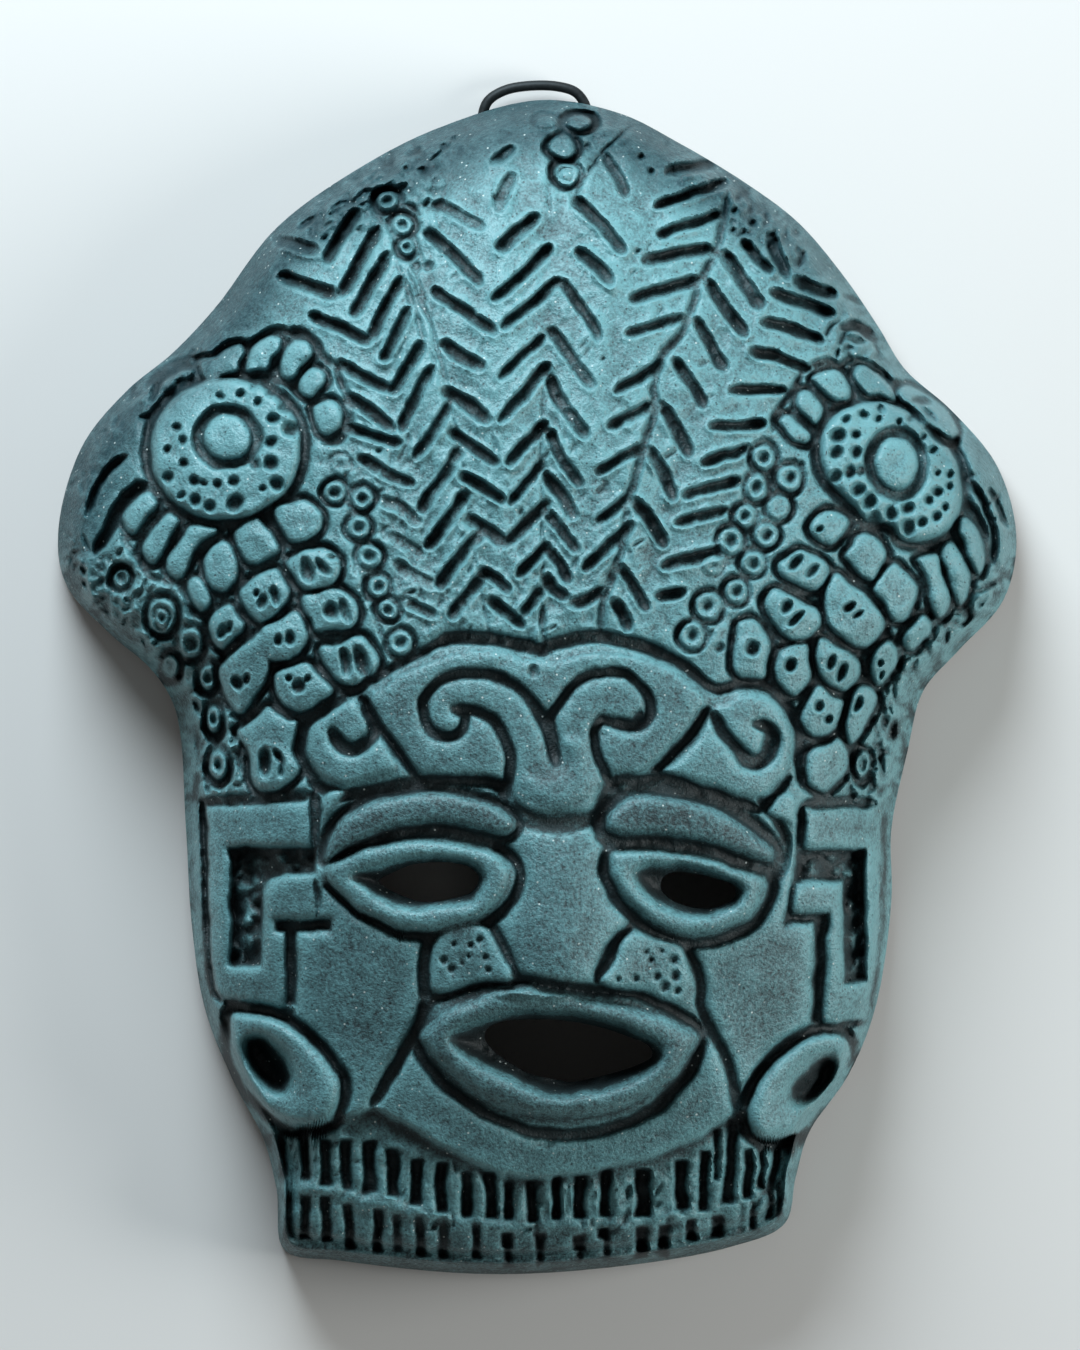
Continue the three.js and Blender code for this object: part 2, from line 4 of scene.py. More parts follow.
import bpy
import numpy as np
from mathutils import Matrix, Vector


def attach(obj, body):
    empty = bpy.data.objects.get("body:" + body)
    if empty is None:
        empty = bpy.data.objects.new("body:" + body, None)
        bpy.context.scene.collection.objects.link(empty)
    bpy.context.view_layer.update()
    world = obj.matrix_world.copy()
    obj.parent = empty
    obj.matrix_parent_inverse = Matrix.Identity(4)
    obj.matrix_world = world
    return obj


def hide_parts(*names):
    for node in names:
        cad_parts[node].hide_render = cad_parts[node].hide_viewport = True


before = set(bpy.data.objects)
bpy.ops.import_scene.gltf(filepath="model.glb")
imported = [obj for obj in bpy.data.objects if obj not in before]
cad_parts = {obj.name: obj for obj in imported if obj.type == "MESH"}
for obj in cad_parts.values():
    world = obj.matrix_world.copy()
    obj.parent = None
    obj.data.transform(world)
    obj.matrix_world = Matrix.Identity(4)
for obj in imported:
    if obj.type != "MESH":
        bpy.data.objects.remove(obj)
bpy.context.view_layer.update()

bpy.ops.object.select_all(action="DESELECT")
mm = 0.001


# Camera and lights
camera = {
    "middle": (0.5, 0.5),     # the point of the mask under the lens
    "height": 5000,
    "level": 28,              # height at which the picture is true to size
    "pictureWidth": 202,      # what the picture spans from side to side
    "sensor": 36,
    "farthest": 50,           # in metres
}
studio = {
    "sky": "#eeefee", "skyPower": 0.17,
    "aim": 20,                # height that the lamps point at
    "floor": "#d3d2cf", "floorRoughness": 0.9,
    "floorSize": 8,           # in metres
}
lamps = [
    # name, place, size, power, colour
    ("windowLight", (-170, 640, 430), 480, 10.3, "#e8f6ff"),
    ("sideFill", (820, -60, 420), 500, 6.5, "#f4f7f7"),
]


def toLinear(hexColour):
    parts = [int(hexColour[i:i + 2], 16) / 255 for i in (1, 3, 5)]
    return [c / 12.92 if c <= 0.04045 else ((c + 0.055) / 1.055) ** 2.4 for c in parts] + [1.0]


def setCamera():
    x, y = camera["middle"]
    bpy.ops.object.camera_add(location=(x * mm, y * mm, camera["height"] * mm), rotation=(0, 0, 0))
    lens = bpy.context.object
    lens.name = "photoCamera"
    lens.data.sensor_fit = "HORIZONTAL"
    lens.data.sensor_width = camera["sensor"]
    lens.data.lens = camera["sensor"] * (camera["height"] - camera["level"]) / camera["pictureWidth"]
    lens.data.clip_end = camera["farthest"]
    bpy.context.scene.camera = lens


def setLights():
    for name, place, size, power, colour in lamps:
        bpy.ops.object.light_add(type="AREA", location=[v * mm for v in place])
        lamp = bpy.context.object
        lamp.name = name
        lamp.data.shape = "DISK"
        lamp.data.size = size * mm
        lamp.data.energy = power
        lamp.data.color = toLinear(colour)[:3]
        toMask = Vector((0, 0, studio["aim"] * mm)) - lamp.location
        lamp.rotation_euler = toMask.to_track_quat("-Z", "Y").to_euler()
    world = bpy.data.worlds.new("paleStudio")
    world.use_nodes = True
    sky = world.node_tree.nodes["Background"]
    sky.inputs["Color"].default_value = toLinear(studio["sky"])
    sky.inputs["Strength"].default_value = studio["skyPower"]
    bpy.context.scene.world = world
    bpy.context.scene.view_settings.view_transform = "Standard"


setCamera()
setLights()
print("camera and lights set")


# The plain clay shell, which the rings of the mesh follow from the pole to the rim
shell = {
    "crest": 50, "fullness": 2.4,          # height of the dome, and how full it is before it falls
    "wall": 7.5,                           # clay thickness
    "topWall": 5.5, "topPower": 12,        # added at the top for the wire, and how narrow that stays
    "foot": 6.5,                           # upright foot of the rim
    "edge": 5, "edgePower": 2.2,           # width of the rounding over the foot, and how tight it is
    "pole": (0, 10),                       # crest of the dome, which all the rings go round
    "eggSide": 80, "eggTop": 103, "eggBottom": 130,      # smooth egg under headdress, wings and jaw
    "fullSides": 1.03, "fullNeck": 0.1, "neckPower": 8,      # over 1, the sides stand up steeper
    "lobesFrom": 0.5,                      # share of the way out where the egg gives way to the outline
    "lowest": 1.5, "rimFade": 1.5,         # the relief dies away beside the foot
    "rings": 330, "crowding": 1.25, "columns": 1500,     # mesh of the front, finer by the rim
    "backRings": 46, "backCrowding": 0.8,
    "footSteps": (0.85, 0.6, 0.35, 0.15), "rimSteps": (0.05, 0.3, 0.65, 0.92),
    "hollowEdge": 1.0, "hollowCorner": 0.55,             # height of the hollow's edge, and of its corner
    "triangles": 196000, "crease": 62,     # an edge sharper than this many degrees stays sharp
}
outline = [
    (0.5, 108.5), (15.5, 106), (26.5, 100.5), (39, 93), (49, 85.5), (57.5, 75.5), (64, 66), (69, 58),
    (78, 50), (86.5, 39.5), (90, 26), (87.5, 14.5), (79, 5), (72.5, -2.5), (69.5, -14), (66.5, -28.5),
    (66.5, -42), (63.5, -62), (58.5, -74.5), (51, -85.5), (48.5, -94), (46.5, -102.5), (36, -107),
    (11.5, -111), (-11, -112), (-37, -109.5), (-47.5, -107.5), (-49, -96), (-51.5, -86.5), (-57, -76),
    (-62.5, -62), (-65, -45.5), (-66, -28.5), (-68, -6), (-72.5, 1.5), (-80, 8), (-88.5, 17.5),
    (-90, 27.5), (-85.5, 43.5), (-77, 54), (-68.5, 61), (-60.5, 69.5), (-49, 84.5), (-33, 96), (-18, 103.5),
]
nose = {"x": 4.3, "top": -14, "bottom": -58, "toe": 2, "rise": 6, "topHalf": 6, "bottomHalf": 12}


def ramp(low, high, value):
    t = np.clip((value - low) / (high - low), 0, 1)
    return t * t * (3 - 2 * t)


def smoothPath(points, closed=False, steps=8):
    pts = np.array([p[:2] for p in points], float)
    if closed:
        pts = np.vstack([pts[-1:], pts, pts[:2]])
    else:
        pts = np.vstack([2 * pts[:1] - pts[1:2], pts, 2 * pts[-1:] - pts[-2:-1]])
    made = []
    for a, b, c, d in zip(pts, pts[1:], pts[2:], pts[3:]):
        gaps = [max(math.hypot(*(q - p)) ** 0.5, 1e-4) for p, q in ((a, b), (b, c), (c, d))]
        leave = (b - a) / gaps[0] - (c - a) / (gaps[0] + gaps[1]) + (c - b) / gaps[1]
        reach = (c - b) / gaps[1] - (d - b) / (gaps[1] + gaps[2]) + (d - c) / gaps[2]
        leave, reach = leave * gaps[1], reach * gaps[1]
        for i in range(steps):
            t = i / steps
            bend = (-3 * b + 3 * c - 2 * leave - reach) * t ** 2 + (2 * b - 2 * c + leave + reach) * t ** 3
            made.append(b + leave * t + bend)
    if not closed:
        made.append(pts[-2])
    return np.array(made)


rimPath = smoothPath(outline, closed=True, steps=12) - np.array(shell["pole"])
rimAngles = np.arctan2(rimPath[:, 1], rimPath[:, 0])
rimReaches = np.hypot(rimPath[:, 0], rimPath[:, 1])
rimOrder = np.argsort(rimAngles)


def rimDistance(angle):
    return np.interp(angle, rimAngles[rimOrder], rimReaches[rimOrder], period=2 * math.pi)


def clayHeight(x, y):
    poleX, poleY = shell["pole"]
    reach = np.hypot(x - poleX, y - poleY)
    angle = np.arctan2(y - poleY, x - poleX)
    rim = rimDistance(angle)
    share = np.minimum(reach / rim, 1)
    long = np.where(y > poleY, shell["eggTop"], shell["eggBottom"])
    egg = 1 / np.hypot(np.cos(angle) / shell["eggSide"], np.sin(angle) / long)
    neck = np.maximum(0, -np.sin(angle)) ** shell["neckPower"]
    lobes = ramp(shell["lobesFrom"], 1, share)
    spread = (1 - lobes) * reach / egg + lobes * share / (shell["fullSides"] + shell["fullNeck"] * neck)
    dome = shell["crest"] * np.sqrt(1 - np.minimum(spread, 1) ** shell["fullness"])
    foot = np.minimum(shell["foot"], dome)
    turnIn = np.clip((rim - reach) / shell["edge"], 0, 1)
    rounding = 1 - (1 - turnIn) ** shell["edgePower"]
    down = ramp(nose["top"], nose["bottom"], y)
    half = nose["topHalf"] + (nose["bottomHalf"] - nose["topHalf"]) * down
    ridge = nose["rise"] * down * ramp(nose["bottom"] - nose["toe"], nose["bottom"] + nose["toe"], y)
    return foot + (dome - foot) * rounding + ridge * np.exp(-((x - nose["x"]) / half) ** 2)


def rimShare(x, y):
    poleX, poleY = shell["pole"]
    return np.hypot(x - poleX, y - poleY) / rimDistance(np.arctan2(y - poleY, x - poleX))


# How relief stands on a slope: straight up from the clay, and dying away down the side walls
slopes = {"step": 0.5, "steepest": 1.7, "wallFrom": 2.8, "wallTo": 5, "wallFade": 0.9}


def slopeOf(x, y):
    step = slopes["step"]
    alongX = (clayHeight(x + step, y) - clayHeight(x - step, y)) / (2 * step)
    alongY = (clayHeight(x, y + step) - clayHeight(x, y - step)) / (2 * step)
    return np.sqrt(1 + alongX ** 2 + alongY ** 2)


def standing(x, y):
    slope = slopeOf(x, y)
    fade = slopes["wallFade"] * ramp(slopes["wallFrom"], slopes["wallTo"], slope)
    return np.minimum(slope, slopes["steepest"]) * (1 - fade)


# The carving board: the relief is worked out on a fine flat grid over the front
board = {"left": -96, "right": 96, "bottom": -116, "top": 114, "step": 0.2}
boardX, boardY = np.meshgrid(
    np.arange(board["left"], board["right"], board["step"]),
    np.arange(board["bottom"], board["top"], board["step"]),
)
# rough is where the tool left torn ground; the fifth layer is painted shade, darker on brows, lids, lips
# and the lowest neck band where less light falls, and below zero it pales the swells (rubbing and a painted
# sheen) and the disc plates
raised, carved, burrs, rough, paintedShadeAndPolish = [np.zeros(boardX.shape) for layer in range(5)]


def noise(scale, seed):
    dice = np.random.default_rng(seed)
    u = (boardX[0] - board["left"]) / scale
    v = (boardY[:, 0] - board["bottom"]) / scale
    coarse = dice.uniform(-1, 1, (int(v[-1]) + 3, int(u[-1]) + 3))
    column, row = u.astype(int), v.astype(int)
    fu, fv = u - column, v - row
    fu, fv = fu * fu * (3 - 2 * fu), (fv * fv * (3 - 2 * fv))[:, None]
    upper = coarse[row][:, column] * (1 - fu) + coarse[row][:, column + 1] * fu
    lower = coarse[row + 1][:, column] * (1 - fu) + coarse[row + 1][:, column + 1] * fu
    return upper * (1 - fv) + lower * fv


# The hand that carved it was never quite steady: how far it strays, over what length, and the seeds
hand = {
    "sway": 0.28, "swayOver": 3.5, "tremble": 0.1, "trembleOver": 1.1,
    "seedsX": (1, 2), "seedsY": (3, 4),
}


def unsteady(straight, seeds):
    sway = hand["sway"] * noise(hand["swayOver"], seeds[0])
    return straight + sway + hand["tremble"] * noise(hand["trembleOver"], seeds[1])


handX = unsteady(boardX, hand["seedsX"])
handY = unsteady(boardY, hand["seedsY"])

# A dragged tool: its depth and width run out at both ends, and a burr stands along the lip
tool = {
    "leanX": -0.4, "leanY": 1,              # the side towards which the hand leaned it
    "leanLeast": 0.25, "leanMost": 1.5,     # what leaning may do to the depth
    "rimFrom": 0.8, "rimTo": 0.95, "deeperByRim": 0.3,
    "tipDepth": 0.65, "flatness": 5, "wall": 0.6,
    "shoulder": 0.9, "burrAway": 0.3, "burrWidth": 0.35,
    "fringe": 1.2,                          # how far torn ground reaches, by half widths
}


def blurred(field, radius):
    rows = np.fft.fftfreq(field.shape[0], board["step"])[:, None]
    columns = np.fft.rfftfreq(field.shape[1], board["step"])
    keep = np.exp(-2 * (math.pi * radius) ** 2 * (rows ** 2 + columns ** 2))
    return np.fft.irfft2(np.fft.rfft2(field) * keep, field.shape)


def windowOf(points, margin):
    pts = np.array([p[:2] for p in points], float)
    low, high = pts.min(0) - margin, pts.max(0) + margin
    fromColumn = max(int((low[0] - board["left"]) / board["step"]), 0)
    fromRow = max(int((low[1] - board["bottom"]) / board["step"]), 0)
    toColumn = max(int((high[0] - board["left"]) / board["step"]) + 2, fromColumn + 1)
    toRow = max(int((high[1] - board["bottom"]) / board["step"]) + 2, fromRow + 1)
    part = (slice(fromRow, toRow), slice(fromColumn, toColumn))
    return part, handX[part], handY[part]


def awayFrom(path, x, y):
    best = np.full(x.shape, 1e6)
    share = np.zeros(x.shape)
    spans = np.maximum(np.hypot(*np.diff(path, axis=0).T), 1e-6)
    done = 0
    for (ax, ay), (bx, by), span in zip(path[:-1], path[1:], spans):
        t = np.clip(((x - ax) * (bx - ax) + (y - ay) * (by - ay)) / span ** 2, 0, 1)
        away = np.hypot(x - ax - t * (bx - ax), y - ay - t * (by - ay))
        share = np.where(away < best, done + t * span, share)
        best = np.minimum(best, away)
        done += span
    return best, share / done, done


def fromEdge(path, x, y):
    away = awayFrom(np.vstack([path, path[:1]]), x, y)[0]
    within = np.zeros(x.shape, bool)
    for (ax, ay), (bx, by) in zip(path, np.roll(path, -1, axis=0)):
        crosses = (ay > y) != (by > y)
        slope = (bx - ax) / (by - ay) if by != ay else 0
        within ^= crosses & (x < slope * (y - ay) + ax)
    return np.where(within, -away, away)


def groove(points, width, depth, ends=1.5, burr=0.14, square=0.55, lean=0.0, torn=0.35, shoulder=0.0):
    path = smoothPath(points) if len(points) > 2 else np.array(points, float)
    part, x, y = windowOf(path, width + 3)
    depth *= 1 + tool["deeperByRim"] * ramp(tool["rimFrom"], tool["rimTo"], rimShare(*path.mean(0)))
    away, share, length = awayFrom(path, x, y)
    fromTip = np.clip(np.minimum(share, 1 - share) * length / ends, 0, 1)
    half = width / 2 * (square + (1 - square) * fromTip)
    across = away / half
    deep = depth * (tool["tipDepth"] + (1 - tool["tipDepth"]) * fromTip)
    trough = deep * np.clip(1 - across ** tool["flatness"], 0, 1) ** tool["wall"]
    if lean:
        along = (path[-1] - path[0]) / max(math.hypot(*(path[-1] - path[0])), 1e-6)
        side = (x - path[0][0]) * along[1] - (y - path[0][1]) * along[0]
        steep = lean * (along[1] * tool["leanX"] - along[0] * tool["leanY"])
        trough *= np.clip(1 + steep * side / half, tool["leanLeast"], tool["leanMost"])
    carved[part] = np.minimum(carved[part], -trough)
    rough[part] = np.maximum(rough[part], torn * np.clip(tool["fringe"] - across, 0, 1))
    raised[part] -= shoulder * np.exp(-((away - half) / tool["shoulder"]) ** 2)
    lip = burr * np.exp(-((away - half - tool["burrAway"]) / tool["burrWidth"]) ** 2)
    burrs[part] = np.maximum(burrs[part], lip)


def stroke(x0, y0, x1, y1, width=2.0, depth=1.9):
    groove([(x0, y0), (x1, y1)], width, depth, ends=1.0, square=0.8, lean=0.5)


# Raised pads with rounded shoulders, and the moats cut round them
padded = {"edge": 0.35, "calm": 0.85, "moatMiddle": 0.42, "round": 2.4, "full": 0.8, "soft": (0.5, -0.5)}


def settle(part, edge, height):
    inside = np.clip(0.5 - edge / padded["edge"], 0, 1)
    carved[part] *= 1 - inside
    burrs[part] *= 1 - inside
    rough[part] *= 1 - padded["calm"] * inside
    raised[part] = raised[part] * (1 - inside) + np.maximum(raised[part], height) * inside


def moat(part, edge, width, depth):
    middle = width * padded["moatMiddle"]
    across = (edge - middle) / (width - middle)
    trough = depth * np.clip(1 - np.abs(across) ** 3, 0, 1) ** tool["wall"]
    carved[part] = np.minimum(carved[part], -trough)
    rough[part] = np.maximum(rough[part], np.clip(1 - np.abs(across), 0, 1))


def pillow(edge, rise, shoulder, crown=0.0):
    into = np.clip(-edge / shoulder, 0, 1)
    rounded = (1 - (1 - into) ** padded["round"]) ** padded["full"]
    return rise * rounded + crown * np.clip(-edge / (3 * shoulder), 0, 1)


def pad(points, rise, shoulder=1.4, crown=0.3, steps=6, grow=0.0, shadeAndPolish=0.0):
    path = smoothPath(points, closed=True, steps=steps)
    part, x, y = windowOf(path, 1 + grow)
    edge = fromEdge(path, x, y) - grow
    settle(part, edge, pillow(edge, rise, shoulder, crown))
    # painted shade: the pad's colour is darkened by the given amount, where less light falls on it
    paintedShadeAndPolish[part] = np.maximum(paintedShadeAndPolish[part], shadeAndPolish * ramp(*padded["soft"], edge))


def turned(x, y, cx, cy, degrees):
    a, dx, dy = math.radians(degrees), x - cx, y - cy
    return dx * math.cos(a) + dy * math.sin(a), dy * math.cos(a) - dx * math.sin(a)


pitShape = {"steep": 3, "wall": 0.7, "rimAway": 1.3, "rimWidth": 0.25}


def pit(cx, cy, radius, depth=1.1, squash=1.0, degrees=0.0, rim=0.14):
    part, x, y = windowOf([(cx, cy)], radius * max(squash, 1) * 2 + 1)
    u, v = turned(x, y, cx, cy, degrees)
    away = np.hypot(u, v / squash) / radius
    hollow = depth * np.clip(1 - away ** pitShape["steep"], 0, 1) ** pitShape["wall"]
    carved[part] = np.minimum(carved[part], -hollow)
    lip = rim * np.exp(-((away - pitShape["rimAway"]) / pitShape["rimWidth"]) ** 2)
    burrs[part] = np.maximum(burrs[part], lip)


# A ring stamp goes deeper on one side and by the rim, and wipes earlier marks inside it
stampShape = {
    "tilt": 0.35, "tiltTurn": 2.1, "rimFrom": 0.75, "rimTo": 0.95, "deeperByRim": 0.6,
    "wipeFrom": 0.7, "calm": 0.75, "calmTo": 1.5, "calmFrom": 1.2,
    "swellIn": 1.05, "swellWidth": 0.5, "outer": 0.22, "outerAway": 0.8, "outerWidth": 0.35,
    "grow": 1.1, "holeGrow": 1.15, "holeSquash": (0.75, 1.5),        # the marks spread in wet clay
    "large": (1.4, 1.8), "small": (0.6, 0.7), "largeFrom": 1.6,      # width and depth of the ring's line
}


def ring(cx, cy, radius, other, width, depth, hole, holeDepth=1.5, swell=0.4):
    shape = stampShape
    depth *= 1 + shape["deeperByRim"] * ramp(shape["rimFrom"], shape["rimTo"], rimShare(cx, cy))
    part, x, y = windowOf([(cx, cy)], max(radius, other) + 2)
    u, v = x - cx, y - cy
    reach = np.hypot(u / radius, v / other)
    around = (reach - 1) * min(radius, other)
    line = depth * np.clip(1 - np.abs(around / (width / 2)) ** pitShape["steep"], 0, 1) ** pitShape["wall"]
    line *= 1 + shape["tilt"] * np.sin(np.arctan2(v, u) + shape["tiltTurn"] * cx + cy)
    carved[part] = np.minimum(carved[part] * ramp(shape["wipeFrom"], 1, reach), -line)
    lift = swell * np.exp(-((around + shape["swellIn"]) / shape["swellWidth"]) ** 2)
    lift += shape["outer"] * np.exp(-((around - shape["outerAway"]) / shape["outerWidth"]) ** 2)
    burrs[part] = np.maximum(burrs[part], lift)
    rough[part] *= 1 - shape["calm"] * ramp(shape["calmTo"], shape["calmFrom"], reach)
    if hole:
        pit(cx, cy, hole, holeDepth, np.clip(other / radius, *shape["holeSquash"]), rim=0)


# Short scratches over torn ground: how many for a square millimetre, and the range of each measure
scratches = {
    "density": 0.09, "bias": 0.2, "length": (1, 3.4), "angle": (15, 110), "width": (0.6, 1.3),
    "depth": (0.4, 1.1), "burr": (0.1, 0.45), "seed": 61,
}


def scratch(path, amount, dice):
    low, high = path.min(0), path.max(0)
    for i in range(int(amount * (high - low).prod() * scratches["density"])):
        x, y = dice.uniform(low[0], high[0]), dice.uniform(low[1], high[1])
        length, angle = dice.uniform(*scratches["length"]), math.radians(dice.uniform(*scratches["angle"]))
        dx, dy = length / 2 * math.cos(angle), length / 2 * math.sin(angle)
        if fromEdge(path, np.array([x]), np.array([y]))[0] < 0:
            width = dice.uniform(*scratches["width"])
            depth = dice.uniform(*scratches["depth"]) * min(1, amount + scratches["bias"])
            burr = dice.uniform(*scratches["burr"])
            groove([(x - dx, y - dy), (x + dx, y + dy)], width, depth, ends=0.5, burr=burr, torn=0.2)


def tear(points, amount, fringe=3.0):
    path = smoothPath(points, closed=True, steps=4)
    part, x, y = windowOf(path, fringe)
    rough[part] = np.maximum(rough[part], amount * ramp(fringe / 2, -fringe / 2, fromEdge(path, x, y)))


# A cut with steep walls, towards which the clay sinks a little
cutShape = {"lip": 0.2, "sinkWidth": 0.9}


def cutOut(part, edge, depth, wall, sink):
    carved[part] = np.minimum(carved[part], -depth * ramp(cutShape["lip"], -wall, edge))
    raised[part] -= sink * np.exp(-(np.maximum(edge, 0) / cutShape["sinkWidth"]) ** 2)


# Neck band, lower than the chin
# Its cuts: x of the middle, top, bottom, width, depth, and how far the foot leans to the right
neck = {
    "drop": 3, "step": (0.6, -0.9), "ridgeRise": 0.7, "ridgeWidth": 1.4,
    "paintedShadeAndPolish": 0.3, "shadedFrom": (-98, -106),      # the lowest band is darkened, a painted shade
    "wall": 0.65, "sink": 0.35, "shallower": 0.1, "waist": 0.9, "burrAway": 0.4, "burrWidth": 0.35,
    "spread": 0.15, "uneven": (0.85, 1.15), "ragged": 0.5, "tilt": 0.25, "burr": (0.2, 0.5), "seed": 29,
    "top": [
        (-56, -84), (-46, -85), (-38, -83), (-30.4, -80.5), (-23.8, -84.1), (-16.4, -88.4),
        (-10.8, -91.2), (-7, -93), (2.3, -93.4), (11.7, -92.1), (21, -89.8), (30, -86), (36.9, -81.3),
        (42, -83.5), (54, -86),
    ],
    "ridge": [
        (-51.5, -95.1), (-48.7, -95.1), (-36.9, -96), (-32.4, -97.9), (-27.4, -99.2), (-22.2, -100.1),
        (-14.5, -101.6), (-7, -102.6), (4.2, -102.6), (13.6, -102.4), (22.9, -101.3), (32.3, -100),
        (38.8, -98.5), (45.3, -96.2), (49.1, -95.1),
    ],
    "upper": [
        (-47.8, -84.2, -93.6, 1.2, 1.2, 0), (-43.5, -84.2, -94, 1.7, 2.4, 0.3),
        (-39.6, -86.9, -95.1, 2, 2.8, 0), (-35.8, -86.9, -95.8, 2.2, 3, 0),
        (-31.3, -86.7, -95.8, 2.2, 3, 0), (-27, -88.4, -97.1, 2.5, 3.2, 0),
        (-22.5, -89.9, -98.1, 2.4, 3.2, 0), (-18, -91, -100, 2.1, 3, 0),
        (-13.2, -92.5, -100.7, 2.2, 3, 0), (-8.8, -93, -100.9, 2, 3, 0.6), (-5.3, -94, -101.3, 1.8, 3, 0),
        (-0.9, -94, -101.3, 1.8, 3, 0.2), (3.5, -93.4, -101.3, 1.8, 3, -0.2),
        (7.9, -93.2, -101.1, 2.2, 3.2, 0), (12.7, -91.9, -100.5, 2, 3, 0),
        (19.7, -92.1, -100.7, 2.9, 3.3, 0), (27, -90.4, -99.4, 2.7, 3.2, 0),
        (31.2, -89.1, -99.6, 2.2, 3, -0.4), (33.6, -84.6, -93.6, 1.1, 2, 0),
        (36.3, -82.7, -98.5, 2.1, 3, -1.4), (39.4, -88.2, -97.5, 2, 3, -0.4),
        (42, -88.2, -95.5, 1.5, 2.6, 0), (44.5, -87.4, -95.5, 1.6, 2.6, -1.6),
        (47.6, -86.5, -90.6, 1.2, 1.6, 0),
    ],
    "lower": [
        (-46.7, -96.8, -104.3, 1.5, 0.8, 0), (-43.5, -96.8, -104.8, 1.7, 2.2, 0),
        (-39.6, -97.1, -105.6, 1.8, 2.4, 0), (-35.1, -98.5, -106.9, 1.6, 2.2, 0.8),
        (-29.9, -99.8, -107.6, 1.7, 2.2, 0), (-26.1, -100.7, -107.1, 1.4, 0.9, 0.3),
        (-21.9, -100.7, -108.4, 1.5, 1.2, 0.3), (-17.5, -101.1, -108.4, 1.5, 1.2, 0.3),
        (-11.4, -102.4, -108.7, 1.3, 2, 0), (-5.7, -103.9, -106.5, 1.9, 2.8, 0),
        (-5.7, -106.5, -110.2, 0.8, 1.4, 0), (0.3, -103.9, -107.1, 1.9, 2.8, 0),
        (0.3, -106.7, -110, 0.8, 1.4, 0), (7.9, -104.3, -106.9, 2.2, 2.8, 0),
        (7.9, -106.7, -109.7, 0.8, 1.4, 0), (12.4, -102.9, -105, 2.2, 2.8, 0),
        (13.2, -104.8, -108.9, 0.8, 1.6, 0), (19.9, -102.9, -108.9, 2.3, 2.8, 0),
        (23.6, -102.4, -108.4, 1.7, 2.4, 0), (28.8, -101.8, -105, 2, 2.8, 0),
        (33.6, -101.1, -104.8, 2.4, 2.4, 0), (38.1, -98.6, -104.3, 1, 0.8, 0),
        (40.3, -97.5, -103.5, 1.1, 2, 0), (43.5, -95.8, -101.3, 1.3, 2, 0),
        (45.3, -94, -100.9, 1.1, 1.6, 0),
    ],
}


def lowerNeck():
    path = np.array(neck["top"] + [(60, -125), (-60, -125)], float)
    part, x, y = windowOf(path, 2)
    edge = fromEdge(path, x, y)
    raised[part] -= neck["drop"] * ramp(*neck["step"], edge)
    path = smoothPath(neck["ridge"])
    part, x, y = windowOf(path, 4)
    raised[part] += neck["ridgeRise"] * np.exp(-(awayFrom(path, x, y)[0] / neck["ridgeWidth"]) ** 2)
    # painted shade: the neck is painted darker towards the bottom
    paintedShadeAndPolish[:] += neck["paintedShadeAndPolish"] * ramp(*neck["shadedFrom"], boardY)


def carveNeck():
    dice = np.random.default_rng(neck["seed"])
    for x, top, bottom, width, depth, lean in neck["upper"] + neck["lower"]:
        left, right = [(width / 2 + neck["spread"]) * dice.uniform(*neck["uneven"]) for side in range(2)]
        high, low = top + dice.uniform(0, neck["ragged"]), bottom - dice.uniform(0, neck["ragged"])
        tilt = dice.uniform(-neck["tilt"], neck["tilt"])
        head, foot, middle = x - lean / 2, x + lean / 2, (high + low) / 2
        waistLeft, waistRight = x - left * neck["waist"], x + right * neck["waist"]
        corners = [(head - left, high + tilt), (waistLeft, middle), (foot - left, low),
                   (foot + right, low + tilt), (waistRight, middle), (head + right, high)]
        part, u, v = windowOf(corners, 3)
        edge = fromEdge(np.array(corners), u, v)
        cutOut(part, edge, depth - neck["shallower"], neck["wall"], neck["sink"])
        burr = dice.uniform(*neck["burr"]) * np.exp(-((edge - neck["burrAway"]) / neck["burrWidth"]) ** 2)
        burrs[part] = np.maximum(burrs[part], burr)
        rough[part] = np.maximum(rough[part], ramp(0.4, -0.4, edge))


